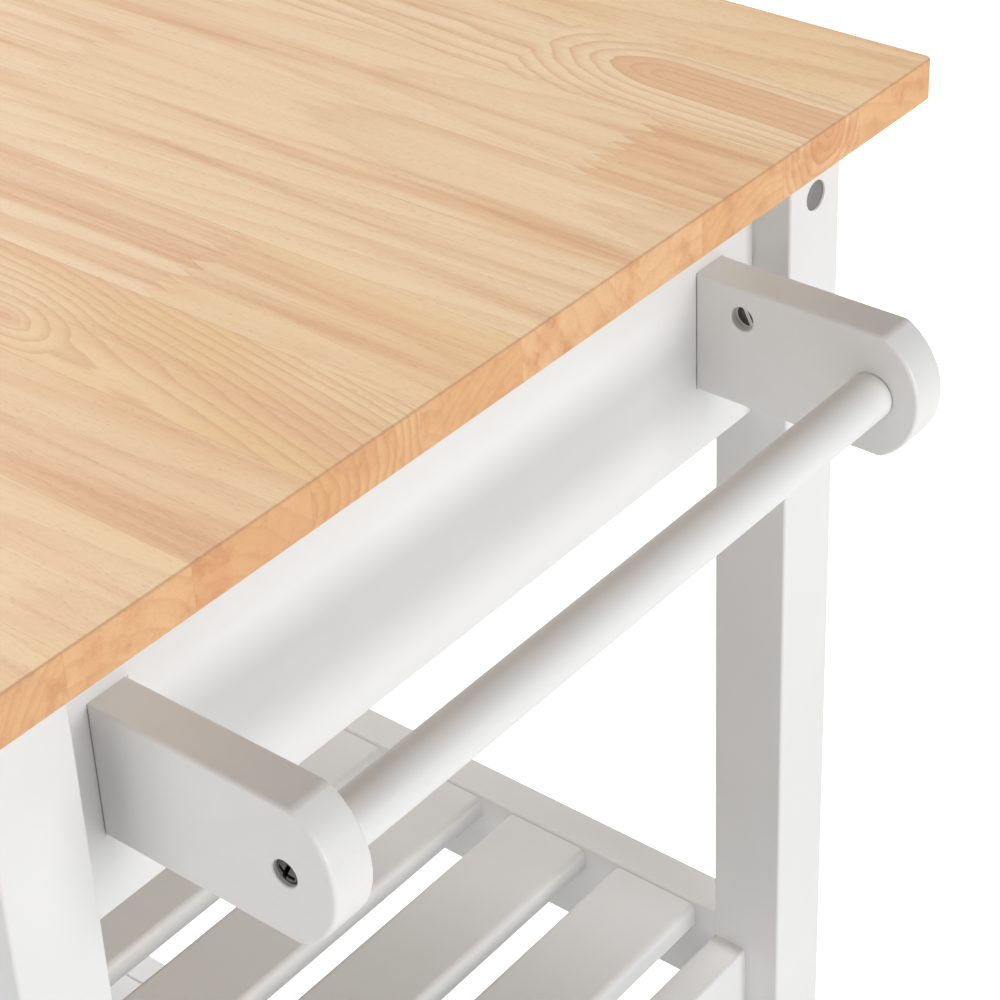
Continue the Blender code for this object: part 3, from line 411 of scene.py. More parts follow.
class Desk:
    """Lays out one material's nodes and links them."""

    def __init__(self, name):
        self.material = bpy.data.materials.new(name)
        self.material.use_nodes = True
        self.tree = self.material.node_tree
        self.shader = self.tree.nodes["Principled BSDF"]
        self.place = self.add("ShaderNodeTexCoord").outputs["Object"]

    def add(self, kind, **settings):
        node = self.tree.nodes.new(kind)
        for key, value in settings.items():
            setattr(node, key, value)
        return node

    def feed(self, socket, value):
        if isinstance(value, bpy.types.NodeSocket):
            self.tree.links.new(value, socket)
        else:
            socket.default_value = value

    def math(self, operation, first, second=0.0, third=0.0):
        node = self.add("ShaderNodeMath", operation=operation)
        for socket, value in zip(node.inputs, (first, second, third)):
            self.feed(socket, value)
        return node.outputs[0]

    def ramp(self, value, low, high, out_low=0.0, out_high=1.0):
        """Map low..high to out_low..out_high, held at both ends."""
        node = self.add("ShaderNodeMapRange", clamp=True)
        for socket, number in zip(node.inputs, (value, low, high, out_low, out_high)):
            self.feed(socket, number)
        return node.outputs[0]

    def blend(self, share, first, second, kind="MIX"):
        node = self.add("ShaderNodeMix", data_type="RGBA", blend_type=kind)
        for socket, value in zip((node.inputs[0], node.inputs[6], node.inputs[7]),
                                 (share, first, second)):
            if not isinstance(value, (bpy.types.NodeSocket, float, int)):
                value = (*value, 1.0)
            self.feed(socket, value)
        return node.outputs[2]

    def stretch(self, scale, offset=None):
        """Object coordinates times a scale for each axis, plus an offset vector."""
        node = self.add("ShaderNodeVectorMath", operation="MULTIPLY_ADD")
        self.feed(node.inputs[0], self.place)
        self.feed(node.inputs[1], scale)
        self.feed(node.inputs[2], (0.0, 0.0, 0.0) if offset is None else offset)
        return node.outputs[0]

    def noise(self, vector, scale=1.0, detail=2.0, roughness=0.5, distortion=0.0):
        node = self.add("ShaderNodeTexNoise")
        self.feed(node.inputs["Vector"], vector)
        node.inputs["Scale"].default_value = scale
        node.inputs["Detail"].default_value = detail
        node.inputs["Roughness"].default_value = roughness
        node.inputs["Distortion"].default_value = distortion
        return node.outputs["Fac"]

    def split(self, vector):
        node = self.add("ShaderNodeSeparateXYZ")
        self.feed(node.inputs[0], vector)
        return node.outputs

    def join(self, x, y, z=0.0):
        node = self.add("ShaderNodeCombineXYZ")
        for socket, value in zip(node.inputs, (x, y, z)):
            self.feed(socket, value)
        return node.outputs[0]

    def chance(self, vector):
        """Three steady random numbers for a cell, as the colour of white noise."""
        node = self.add("ShaderNodeTexWhiteNoise", noise_dimensions="3D")
        self.feed(node.inputs["Vector"], vector)
        return self.split(node.outputs["Color"])

    def choose(self, share, first, second):
        """First where the share is 0 and second where it is 1."""
        return self.math("MULTIPLY_ADD", share, self.math("SUBTRACT", second, first), first)

    def late_wood(self, depth, spacing):
        """Each ring darkens slowly towards its outside and then ends at once."""
        ring = self.math("FRACT", self.math("DIVIDE", depth, spacing))
        rise = self.math("POWER", self.ramp(ring, 0.10, 0.90), 2.6)
        return self.math("MAXIMUM", self.math("SUBTRACT", rise, self.ramp(ring, 0.92, 1.0)), 0.0)

    def edge(self):
        return self.add("ShaderNodeAttribute", attribute_name="edge").outputs["Fac"]

    def bump(self, height, distance, strength=1.0):
        node = self.add("ShaderNodeBump")
        self.feed(node.inputs["Height"], height)
        node.inputs["Distance"].default_value = distance
        node.inputs["Strength"].default_value = strength
        self.tree.links.new(node.outputs[0], self.shader.inputs["Normal"])

    def surface(self, base=None, roughness=None, **fixed):
        if base is not None:
            self.feed(self.shader.inputs["Base Color"], base)
        if roughness is not None:
            self.feed(self.shader.inputs["Roughness"], roughness)
        for name, value in fixed.items():
            self.shader.inputs[name.replace("_", " ")].default_value = value
        return self.material


def grain_scale(axis, along, across):
    """Noise scales for a grain that runs along one axis."""
    scale = [across, across, across]
    scale["XYZ".index(axis)] = along
    return tuple(scale)


# Where the heart of a log comes up through an end block: metres from the bar's end, metres from
# the front edge, how deep its axis is towards the end and away from it, over how many metres it
# gets there, how far it drifts sideways per metre, and the radius of the dark heartwood.
HEARTS = (
    (0.076, 0.436, 0.0, 0.026, 0.060, 0.04, 0.0150),
    (0.153, 0.157, -0.0115, 0.0115, 0.030, 0.18, 0.0045),
)


def butcher_block(settings):
    """Finger-jointed staves, cut from logs whose rings show as figure and as end grain.

    A stave is a cell across Y.  A block is a cell along its stave, counted from the joint
    nearest to the bar's end, and its ends zigzag with Y.  Rings are equal distances from the
    log's axis, which each block takes from its cell's random numbers, or from HEARTS.
    """
    desk = Desk("butcher_block")
    low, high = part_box("worktop")
    x, y, z = desk.split(desk.place)
    from_end = desk.math("SUBTRACT", high.x, x)
    from_first = desk.math("SUBTRACT", y, low.y + settings.first_stave)
    across = desk.math("DIVIDE", from_first, settings.stave_width)
    stave = desk.math("FLOOR", across)
    in_stave = desk.math("FRACT", across)
    _, second, third = desk.chance(desk.join(stave, 3.7, 1.3))

    finger = desk.math("PINGPONG", desk.math("ADD", y, 0.5), settings.finger_pitch / 2)
    zigzag = desk.math("MULTIPLY", finger, 2 * settings.finger_length / settings.finger_pitch)
    block_size = desk.ramp(second, 0.0, 1.0, settings.block_length, settings.block_length * 1.7)
    spread = desk.math("FRACT", desk.math("MULTIPLY_ADD", stave, 0.63, 0.318))
    first_joint = desk.math("MULTIPLY", spread, settings.first_joint)
    past_joint = desk.math("SUBTRACT", desk.math("ADD", from_end, zigzag), first_joint)
    along = desk.math("DIVIDE", past_joint, block_size)
    block = desk.math("FLOOR", along)
    in_block = desk.math("FRACT", along)
    tone, place, tilt = desk.chance(desk.join(stave, block, third))

    offset = desk.join(desk.math("MULTIPLY", tone, 31.0), desk.math("MULTIPLY", place, 17.0),
                       desk.math("MULTIPLY", tilt, 23.0))
    slow = desk.noise(desk.stretch((3.0, 22.0, 22.0), offset), detail=2.0)
    waves = desk.noise(desk.stretch((9.0, 75.0, 75.0), offset), detail=3.0, roughness=0.6)
    lean = desk.math("MULTIPLY", desk.math("SUBTRACT", tilt, 0.5), 0.10)
    heart_y = desk.math("ADD", desk.math("MULTIPLY", x, lean),
                        desk.math("MULTIPLY", desk.math("SUBTRACT", place, 0.5), 0.15))
    local_y = desk.math("SUBTRACT", desk.math("MODULO", desk.math("ADD", y, 5.0), 0.11), 0.055)
    apart_y = desk.math("SUBTRACT", local_y, heart_y)
    sink = desk.math("MULTIPLY", desk.math("MULTIPLY", in_block, block_size), 0.06)
    apart_z = desk.math("ADD", desk.math("SUBTRACT", z, low.z),
                        desk.math("ADD", sink, desk.ramp(tone, 0.0, 1.0, 0.010, 0.055)))
    end_block = desk.math("LESS_THAN", block, -0.5)
    heart_radius = 0.0
    for end_distance, front_distance, depth_near, depth_far, reach, drift, radius in HEARTS:
        index = (front_distance - settings.first_stave) // settings.stave_width
        chosen = desk.math("MULTIPLY", end_block, desk.math("COMPARE", stave, index, 0.1))
        past_heart = desk.math("SUBTRACT", from_end, end_distance)
        drifted = desk.math("MULTIPLY_ADD", past_heart, drift, low.y + front_distance)
        start = -reach if depth_near else 0.0
        sunk = desk.ramp(past_heart, start, reach, depth_near, depth_far)
        below_top = desk.math("SUBTRACT", sunk, desk.math("SUBTRACT", z, high.z))
        apart_y = desk.choose(chosen, apart_y, desk.math("SUBTRACT", y, drifted))
        apart_z = desk.choose(chosen, apart_z, below_top)
        heart_radius = desk.math("MULTIPLY_ADD", chosen, radius, heart_radius)
    distance = desk.math("SQRT", desk.math("ADD", desk.math("MULTIPLY", apart_y, apart_y),
                                           desk.math("MULTIPLY", apart_z, apart_z)))
    wobble = desk.math("MULTIPLY", desk.math("ADD", slow, desk.math("MULTIPLY", waves, 0.30)),
                       0.014)
    depth_in_log = desk.math("ADD", distance, wobble)
    late = desk.late_wood(depth_in_log, settings.ring_spacing)
    figured = desk.math("GREATER_THAN", heart_radius, 0.0)
    dense_late = desk.late_wood(depth_in_log, settings.ring_spacing * 0.50)
    late = desk.choose(figured, late, desk.math("MULTIPLY", dense_late, 2.2))
    outside_heart = desk.math("SUBTRACT", depth_in_log, heart_radius)
    heart = desk.math("MULTIPLY", figured, desk.ramp(outside_heart, 0.0056, 0.0062, 1.0, 0.0))

    fibre = desk.noise(desk.stretch((16.0, 900.0, 900.0), offset), detail=3.0, roughness=0.7)
    streak = desk.noise(desk.stretch((7.0, 190.0, 190.0), offset), detail=3.0, roughness=0.62,
                        distortion=0.25)
    broad = desk.noise(desk.stretch((3.2, 60.0, 60.0), offset), detail=2.0)
    cloud = desk.noise(desk.stretch((9.0, 26.0, 26.0), offset), detail=2.0)
    pore_field = desk.noise(desk.stretch((300.0, 4200.0, 4200.0), offset), detail=1.0)
    pore = desk.math("MULTIPLY", desk.ramp(pore_field, 0.60, 0.72),
                     desk.ramp(streak, 0.34, 0.60, 0.35, 1.0))

    base = desk.blend(desk.ramp(tone, 0.05, 0.45), settings.pale, settings.cream)
    base = desk.blend(desk.ramp(tone, 0.50, 0.70), base, settings.honey)
    base = desk.blend(desk.ramp(tone, 0.75, 0.95, 0.0, 0.55), base, settings.blush)
    base = desk.blend(desk.ramp(cloud, 0.40, 0.64, 0.0, 0.60), base, settings.pale)
    base = desk.blend(desk.ramp(broad, 0.48, 0.64, 0.0, 0.70), base, settings.blush)
    base = desk.blend(desk.math("MULTIPLY", heart, 0.80), base, settings.blush)
    banded = desk.math("MULTIPLY", desk.ramp(broad, 0.40, 0.62, 0.12, 1.0),
                       desk.ramp(streak, 0.48, 0.68, 0.0, 0.62))
    base = desk.blend(banded, base, settings.rose)
    base = desk.blend(desk.math("MULTIPLY", late, 0.24), base, settings.rose)
    base = desk.blend(desk.ramp(fibre, 0.32, 0.74, 0.0, 0.17), base, settings.rose)
    base = desk.blend(desk.math("MULTIPLY", pore, 0.46), base, settings.pore)

    joint = desk.math("MINIMUM", in_block, desk.math("SUBTRACT", 1.0, in_block))
    joint = desk.ramp(desk.math("MULTIPLY", joint, block_size), 0.0001, 0.0005, 1.0, 0.0)
    glue = desk.math("MINIMUM", in_stave, desk.math("SUBTRACT", 1.0, in_stave))
    glue = desk.ramp(glue, 0.001, 0.006, 1.0, 0.0)
    normal = desk.split(desk.add("ShaderNodeTexCoord").outputs["Normal"])
    sawn = desk.ramp(desk.math("ABSOLUTE", normal[0]), 0.55, 0.85)
    joint = desk.math("MULTIPLY", joint, desk.math("SUBTRACT", 1.0, sawn))
    base = desk.blend(desk.math("MULTIPLY", joint, 0.34), base, settings.pore)
    base = desk.blend(desk.math("MULTIPLY", glue, 0.20), base, settings.pore)
    base = desk.blend(desk.math("MULTIPLY", sawn, 0.85), base, settings.end_tint,
                      kind="MULTIPLY")
    ringed = desk.ramp(place, 0.25, 0.80, 0.05, 0.62)
    base = desk.blend(desk.math("MULTIPLY", desk.math("MULTIPLY", dense_late, sawn), ringed),
                      base, settings.rose)
    arris = desk.math("MULTIPLY", desk.edge(), desk.ramp(desk.math("ABSOLUTE", normal[0]),
                                                         0.20, 0.55))
    base = desk.blend(desk.math("MULTIPLY", arris, 0.50), base, settings.rose)

    rough = desk.math("ADD", desk.ramp(fibre, 0.3, 0.7, 0.42, 0.54),
                      desk.math("MULTIPLY", sawn, 0.12))
    dents = desk.math("MULTIPLY", desk.math("ADD", pore, desk.math("ADD", joint, glue)), 0.4)
    height = desk.math("SUBTRACT", desk.math("MULTIPLY", fibre, 0.35), dents)
    desk.bump(height, 0.00008)
    return desk.surface(base, rough, Specular_IOR_Level=0.42)


def box_wood(settings, axis):
    """Clear-coated plain wood for the drawer boxes, with its grain along an axis."""
    desk = Desk("drawer_wood_" + axis.lower())
    fibre = desk.noise(desk.stretch(grain_scale(axis, 14.0, 800.0)), detail=3.0, roughness=0.7)
    figure = desk.noise(desk.stretch(grain_scale(axis, 3.0, 70.0)), detail=3.0, distortion=0.6)
    pore = desk.ramp(desk.noise(desk.stretch(grain_scale(axis, 130.0, 1900.0)), detail=1.0),
                     0.68, 0.75)
    dark = tuple(part * 0.72 for part in settings.box_wood)
    base = desk.blend(desk.ramp(figure, 0.35, 0.7, 0.0, 0.55), settings.box_wood, dark)
    base = desk.blend(desk.ramp(fibre, 0.35, 0.7, 0.0, 0.25), base, settings.rose)
    base = desk.blend(desk.math("MULTIPLY", pore, 0.4), base, settings.pore)
    desk.bump(desk.math("SUBTRACT", fibre, pore), 0.00006)
    return desk.surface(base, desk.ramp(fibre, 0.3, 0.7, 0.45, 0.6))


def white_paint(settings, axis):
    """Sprayed satin paint: orange peel, a trace of the grain, and thinner paint on edges."""
    desk = Desk("white_paint_" + axis.lower())
    peel = desk.noise(desk.stretch((620.0, 620.0, 620.0)), detail=2.0, roughness=0.55)
    grain = desk.noise(desk.stretch(grain_scale(axis, 12.0, 520.0)), detail=3.0, roughness=0.65)
    cloud = desk.noise(desk.stretch((7.0, 7.0, 7.0)), detail=3.0, roughness=0.6)
    speck = desk.ramp(desk.noise(desk.stretch((240.0, 240.0, 240.0)), detail=1.0), 0.76, 0.80)
    worn = desk.math("MULTIPLY", desk.edge(), desk.ramp(grain, 0.35, 0.65, 0.35, 1.0))
    cool = tuple(part * 0.965 for part in settings.white)
    base = desk.blend(desk.ramp(cloud, 0.38, 0.66), settings.white, cool)
    base = desk.blend(desk.math("MULTIPLY", worn, 0.60), base, settings.thin)
    base = desk.blend(desk.math("MULTIPLY", speck, 0.06), base, settings.thin)
    rough = desk.math("ADD", desk.ramp(cloud, 0.3, 0.7, settings.roughness - 0.05,
                                       settings.roughness + 0.05),
                      desk.math("MULTIPLY", worn, -0.08))
    height = desk.math("ADD", desk.math("MULTIPLY", grain, 0.7), desk.math("MULTIPLY", peel, 0.3))
    desk.bump(height, settings.grain_depth)
    return desk.surface(base, rough, Specular_IOR_Level=0.5)


def plain_metal(name, tint, roughness, brushed=0.0, worn=0.5):
    """Plated metal: fine scratches, cloudy roughness and darker stains."""
    desk = Desk(name)
    scratch = desk.noise(desk.stretch((2400.0, 2400.0, 160.0)), detail=2.0, distortion=0.4)
    cloud = desk.noise(desk.stretch((130.0, 130.0, 130.0)), detail=4.0, roughness=0.65)
    stain = tuple(part * 0.62 for part in tint)
    base = desk.blend(desk.ramp(cloud, 0.40, 0.72, 0.0, worn), tint, stain)
    rough = desk.math("ADD", desk.ramp(cloud, 0.3, 0.7, roughness - 0.07, roughness + 0.10),
                      desk.ramp(scratch, 0.4, 0.7, 0.0, 0.06 + brushed))
    desk.bump(desk.math("ADD", scratch, cloud), 0.000025)
    return desk.surface(base, rough, Metallic=1.0)


def soft_plastic(name, tint, roughness, pitch, depth):
    """Moulded plastic or rubber: fine texture paler on its peaks, dusty patches, dull wear."""
    desk = Desk(name)
    skin = desk.noise(desk.stretch((pitch, pitch, pitch)), detail=3.0, roughness=0.6)
    cloud = desk.noise(desk.stretch((90.0, 90.0, 90.0)), detail=3.0, roughness=0.6)
    dusty = tuple(min(1.0, part * 1.6 + 0.03) for part in tint)
    base = desk.blend(desk.ramp(cloud, 0.45, 0.75, 0.0, 0.55), tint, dusty)
    base = desk.blend(desk.ramp(skin, 0.55, 0.75, 0.0, 0.3), base, dusty)
    desk.bump(skin, depth)
    return desk.surface(base, desk.ramp(cloud, 0.3, 0.7, roughness - 0.06, roughness + 0.1))


FINISHES = {}


def finishes():
    """All the materials, made once and then shared by the pieces."""
    if not FINISHES:
        scene = bpy.context.scene
        metal = scene.cart_hardware
        FINISHES["block"] = butcher_block(scene.cart_wood)
        for axis in "XYZ":
            FINISHES["paint" + axis] = white_paint(scene.cart_paint, axis)
            FINISHES["box" + axis] = box_wood(scene.cart_wood, axis)
        FINISHES["zinc"] = plain_metal("zinc_plate", metal.zinc, 0.34)
        FINISHES["cap"] = plain_metal("bolt_cap", metal.cap, 0.55, worn=0.25)
        FINISHES["nickel"] = plain_metal("satin_nickel", metal.nickel, 0.27, 0.10, worn=0.2)
        FINISHES["steel"] = plain_metal("caster_steel", metal.steel, 0.26, worn=0.35)
        FINISHES["rubber"] = soft_plastic("tyre_rubber", metal.rubber, 0.62, 900.0, 0.00004)
        FINISHES["hub"] = soft_plastic("hub_plastic", metal.hub, 0.42, 1500.0, 0.00002)
        FINISHES["pedal"] = soft_plastic("pedal_plastic", metal.pedal, 0.50, 1200.0, 0.00003)
    return FINISHES


# ---- pieces ---------------------------------------------------------------------------

def body_of_node(node):
    for body, members in frame["record"]["behaviour"]["bodies"].items():
        if node in members:
            return body
    raise RuntimeError("no body holds " + node)


def tucked(low, high, axis, depth):
    """A board's corners with its two ends moved out into the pieces that they butt on."""
    step = np.zeros(3)
    step["XYZ".index(axis)] = depth
    return np.array(low) - step, np.array(high) + step


def painted_board(node, axis, edge=None, tuck=0.0):
    """Stand a finely rounded painted board in a node's place."""
    shape = bpy.context.scene.cart_shape
    low, high = tucked(*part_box(node), axis, tuck)
    edge = shape.wood_edge if edge is None else edge
    return board(node + "_wood", low, high, axis, edge, shape.end_edge, shape.arc_steps)


def finish_board(piece, node, axis, kind="paint", slot="white_paint"):
    return finish_piece(piece, finishes()[kind + axis], body_of_node(node), slot, node)


class CART_OT_worktop(bpy.types.Operator):
    """Build the butcher-block worktop"""

    bl_idname = "cart.worktop"
    bl_label = "Worktop"

    def execute(self, context):
        shape = context.scene.cart_shape
        low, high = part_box("worktop")
        corner = shape.worktop_corner
        corners = [(low.x, low.y), (high.x, low.y), (high.x, high.y), (low.x, high.y)]
        outline = filleted(corners, corner, shape.arc_steps + 1)
        top = carried("worktop_block", outline, "Z", (0, 0, 0), low.z, high.z,
                      shape.worktop_edge, shape.arc_steps)
        finish_piece(top, finishes()["block"], "frame", "butcher_block", "worktop")
        return {"FINISHED"}


class CART_OT_frame(bpy.types.Operator):
    """Build the painted legs, aprons, rails, runners and the bolts in the back legs"""

    bl_idname = "cart.frame"
    bl_label = "Frame"

    def execute(self, context):
        for corner in CORNERS:
            leg = painted_board("leg_" + corner, "Z")
            if corner.startswith("back"):
                self.seat_bolt(leg, corner)
            finish_board(leg, "leg_" + corner, "Z")
        for node, axis in (("end_apron_left", "Y"), ("end_apron_right", "Y"),
                           ("back_apron", "X"), ("drawer_rail_top", "X"),
                           ("drawer_rail_bottom", "X"), ("drawer_runner_left", "Y"),
                           ("drawer_runner_right", "Y"), ("worktop_cleat_left", "Y"),
                           ("worktop_cleat_right", "Y")):
            finish_board(painted_board(node, axis, tuck=context.scene.cart_shape.tuck), node,
                         axis)
        self.divider(context)
        return {"FINISHED"}

    def seat_bolt(self, leg, corner):
        """A flat bolt head sunk just below the leg's face, in a flared hole."""
        side = corner.split("_")[1]
        sign = 1 if side == "right" else -1
        low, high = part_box("leg_bolt_" + side)
        face = high.x if sign > 0 else low.x
        middle = ((low.y + high.y) / 2, (low.z + high.z) / 2)
        radius = (high.y - low.y) / 2
        clearance = 0.0001
        hole_depth = 0.0040
        flare = 0.0002
        sunk = 0.0003
        dome = 0.0002
        thickness = 0.0025
        drill(leg, "X", (face, *middle), sign, radius + clearance, hole_depth, flare)
        head = fastener_head("leg_bolt_head_" + side, "X", sign, (face - sign * sunk, *middle),
                             radius, dome, 0.0, thickness, no_recess)
        finish_piece(head, finishes()["cap"], "frame", "zinc", "leg_bolt_" + side)

    def divider(self, context):
        """The upright between the drawers and its two ledges."""
        shape = context.scene.cart_shape
        low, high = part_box("drawer_divider")
        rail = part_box("drawer_rail_bottom")
        middle = (low.x + high.x) / 2
        clearance = 0.002
        half = (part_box("drawer_right_side_left")[0].x - middle) - clearance
        ledge_top = rail[1].z
        outline = [(low.x, low.z), (high.x, low.z), (high.x, ledge_top),
                   (middle + half, ledge_top), (middle + half, high.z),
                   (middle - half, high.z), (middle - half, ledge_top), (low.x, ledge_top)]
        swapped = [(up, across) for across, up in outline][::-1]
        piece = carried("drawer_divider_wood", filleted(swapped, shape.end_edge, 3), "Y",
                        (0, 0, 0), low.y, high.y, shape.end_edge, 3)
        finish_piece(piece, finishes()["paintY"], "frame", "white_paint", "drawer_divider")


class CART_OT_shelves(bpy.types.Operator):
    """Build both shelves: long rails, end rails and one piece for each slat"""

    bl_idname = "cart.shelves"
    bl_label = "Shelves"

    slat_width: length("Slat width", "Width of a slat", 0.0475)
    slat_thickness: length("Slat thickness", "Thickness of a slat", 0.0125)
    slat_drop: length("Slat drop", "Slat tops below the rails' tops", 0.002)
    end_gap: length("End gap", "From the end rail to the first slat", 0.011)
    wished_gap: length("Gap", "Gap between slats before they share out the rest", 0.0185)
    rail_thickness: length("Rail thickness", "Thickness of the long rails", 0.020)

    def execute(self, context):
        for shelf in ("upper_shelf", "lower_shelf"):
            self.rails(context, shelf)
            self.slats(context, shelf)
        return {"FINISHED"}

    def rails(self, context, shelf):
        shape = context.scene.cart_shape
        low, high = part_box(shelf)
        thick = self.rail_thickness
        for end, start, stop in (("front", low.y, low.y + thick),
                                 ("back", high.y - thick, high.y)):
            ends = tucked((low.x, start, low.z), (high.x, stop, high.z), "X", shape.tuck)
            rail = board("%s_rail_%s" % (shelf, end), *ends, "X", shape.wood_edge,
                         shape.end_edge, shape.arc_steps)
            finish_piece(rail, finishes()["paintX"], "frame", "white_paint", shelf)
        for side in ("left", "right"):
            node = shelf + "_end_rail_" + side
            finish_board(painted_board(node, "Y", tuck=shape.tuck), node, "Y")

    def slats(self, context, shelf):
        """Slats share out the room between the end rails; their ends butt on the long rails."""
        shape = context.scene.cart_shape
        low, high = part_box(shelf)
        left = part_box("end_apron_left")[1].x + self.end_gap
        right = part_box("end_apron_right")[0].x - self.end_gap
        room = right - left - self.slat_width
        spaces = max(1, round(room / (self.slat_width + self.wished_gap)))
        starts = left + np.arange(spaces + 1) * room / spaces
        top = high.z - self.slat_drop
        bottom = top - self.slat_thickness
        radii = (0.0010, shape.slat_edge, shape.slat_edge, 0.0010)
        for number, start in enumerate(starts):
            ends = tucked((start, low.y + self.rail_thickness, bottom),
                          (start + self.slat_width, high.y - self.rail_thickness, top), "Y",
                          shape.tuck)
            slat = board("%s_slat_%02d" % (shelf, number + 1), *ends, "Y", radii,
                         shape.end_edge, shape.arc_steps + 1)
            finish_piece(slat, finishes()["paintY"], "frame", "white_paint")


class CART_OT_towel_bar(bpy.types.Operator):
    """Build the towel bar, its brackets and their fasteners"""

    bl_idname = "cart.towel_bar"
    bl_label = "Towel bar"

    tip_depth: length("Tip depth", "How far the curve of a bracket's tip stands out", 0.015)
    tip_ease: length("Tip corner", "Rounding where the curve meets the straight", 0.006)
    recess_radius: length("Recess", "Radius of the screw recess and the barrel hole", 0.0050)
    screw_depth: length("Screw depth", "How deep the bar's screws are sunk", 0.0017)
    nut_depth: length("Nut depth", "How deep the barrel nuts are sunk", 0.0042)

    def execute(self, context):
        shape = context.scene.cart_shape
        bar_low, bar_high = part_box("towel_bar")
        bar_x = (bar_low.x + bar_high.x) / 2
        bar_z = (bar_low.z + bar_high.z) / 2
        bar = carried("towel_bar_dowel", round_outline((bar_high.x - bar_low.x) / 2, shape.sides),
                      "Y", (bar_x, 0, bar_z), bar_low.y, bar_high.y, 0.0004, 3)
        finish_piece(bar, finishes()["paintY"], "frame", "white_paint", "towel_bar")
        for end, side in (("front", -1), ("back", 1)):
            self.bracket(context, end, side, bar_x, bar_z)
        return {"FINISHED"}

    def bracket_outline(self, low, high, shape):
        """Two straight sides and the tip's arc.

        An arc through both sides' ends that stands out by its depth has the radius (half
        squared + depth squared) / (2 depth), and its tangents meet each side at an angle.
        """
        half = (high.z - low.z) / 2
        middle = (high.z + low.z) / 2
        radius = (half ** 2 + self.tip_depth ** 2) / (2 * self.tip_depth)
        turn = np.arcsin(half / radius)
        radius -= self.tip_ease * np.tan((QUARTER - turn) / 2) / np.tan(turn)
        apex = high.x + radius * (1 / np.cos(turn) - 1)
        shoulder = apex - half * np.tan(turn)
        root = low.x - shape.bracket_edge
        corners = [(low.z, root), (high.z, root), (high.z, shoulder), (middle, apex),
                   (low.z, shoulder)]
        ease = self.tip_ease
        return filleted(corners, (0.0, 0.0, ease, radius, ease), 12)

    def bracket(self, context, end, side, bar_x, bar_z):
        """A bar with a curved tip, its outline in Z and X, carried along Y."""
        shape = context.scene.cart_shape
        low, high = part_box("towel_bracket_" + end)
        bracket = carried("towel_bracket_wood_" + end, self.bracket_outline(low, high, shape),
                          "Y", (0, 0, 0), low.y, high.y, shape.bracket_edge, shape.arc_steps)
        outer = high.y if side > 0 else low.y
        inner = low.y if side > 0 else high.y
        drill(bracket, "Y", (bar_x, outer, bar_z), side, self.recess_radius, self.screw_depth)
        nut_low, nut_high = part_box("barrel_nut_" + end)
        nut_x = (nut_low.x + nut_high.x) / 2
        nut_z = (nut_low.z + nut_high.z) / 2
        drill(bracket, "Y", (nut_x, inner, nut_z), -side, self.recess_radius + 0.0002,
              self.nut_depth)
        finish_piece(bracket, finishes()["paintX"], "frame", "white_paint",
                     "towel_bracket_" + end)
        screw = fastener_head("bar_screw_head_" + end, "Y", side,
                              (bar_x, outer - side * self.screw_depth, bar_z),
                              self.recess_radius - 0.0001, 0.0014, 0.0026, 0.0, cross_recess)
        finish_piece(screw, finishes()["zinc"], "frame", "zinc", "bar_screw_" + end)
        nut_face = inner + side * self.nut_depth
        nut = fastener_head("barrel_nut_face_" + end, "Y", -side, (nut_x, nut_face, nut_z),
                            self.recess_radius - 0.0001, 0.0002, 0.0016, 0.002, slot_recess,
                            turn=1.1)
        finish_piece(nut, finishes()["zinc"], "frame", "zinc", "barrel_nut_" + end,
                     "bracket_bolt_" + end)


class CART_OT_drawers(bpy.types.Operator):
    """Build the drawers' fronts, boxes and knobs"""

    bl_idname = "cart.drawers"
    bl_label = "Drawers"

    def execute(self, context):
        shape = context.scene.cart_shape
        for side in ("left", "right"):
            body = "drawer_" + side
            node = "drawer_front_" + side
            finish_board(painted_board(node, "X", edge=shape.bracket_edge), node, "X")
            for part, axis in (("side_left", "Y"), ("side_right", "Y"), ("back", "X"),
                               ("bottom", "X")):
                node = "drawer_%s_%s" % (side, part)
                edge = 0.0003 if part == "bottom" else shape.box_edge
                finish_board(painted_board(node, axis, edge=edge), node, axis, "box",
                             "drawer_wood")
            self.knob(context, side, body)
        return {"FINISHED"}

    def knob(self, context, side, body):
        """A turned knob: flared foot, slim neck and a shallow domed head."""
        low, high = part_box("drawer_knob_" + side)
        radius = (high.x - low.x) / 2
        reach = high.y - low.y
        corners = [(0, -reach), (radius * 0.93, -reach * 0.955), (radius, -reach * 0.80),
                   (radius * 0.97, -reach * 0.66), (radius * 0.42, -reach * 0.44),
                   (radius * 0.40, -reach * 0.16), (radius * 0.62, 0.0), (0, 0.0)]
        radii = (0.001, 0.0030, 0.0022, 0.0030, 0.0030, 0.0020, 0.0003, 0.001)
        profile = open_fillet(corners, radii, 6)
        knob = turned("drawer_knob_turned_" + side, profile, "Y",
                      ((low.x + high.x) / 2, high.y, (low.z + high.z) / 2),
                      context.scene.cart_shape.sides)
        finish_piece(knob, finishes()["nickel"], body, "nickel", "drawer_knob_" + side)
        low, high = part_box("knob_screw_" + side)
        head_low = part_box("drawer_front_" + side)[1].y
        raised = 0.0007
        dome = 0.0011
        cross_depth = 0.0009
        rim = 0.0005
        screw = fastener_head("knob_screw_head_" + side, "Y", 1,
                              ((low.x + high.x) / 2, head_low + raised, (low.z + high.z) / 2),
                              (high.x - low.x) / 2, dome, cross_depth, rim, cross_recess)
        finish_piece(screw, finishes()["zinc"], body, "zinc", "knob_screw_" + side)


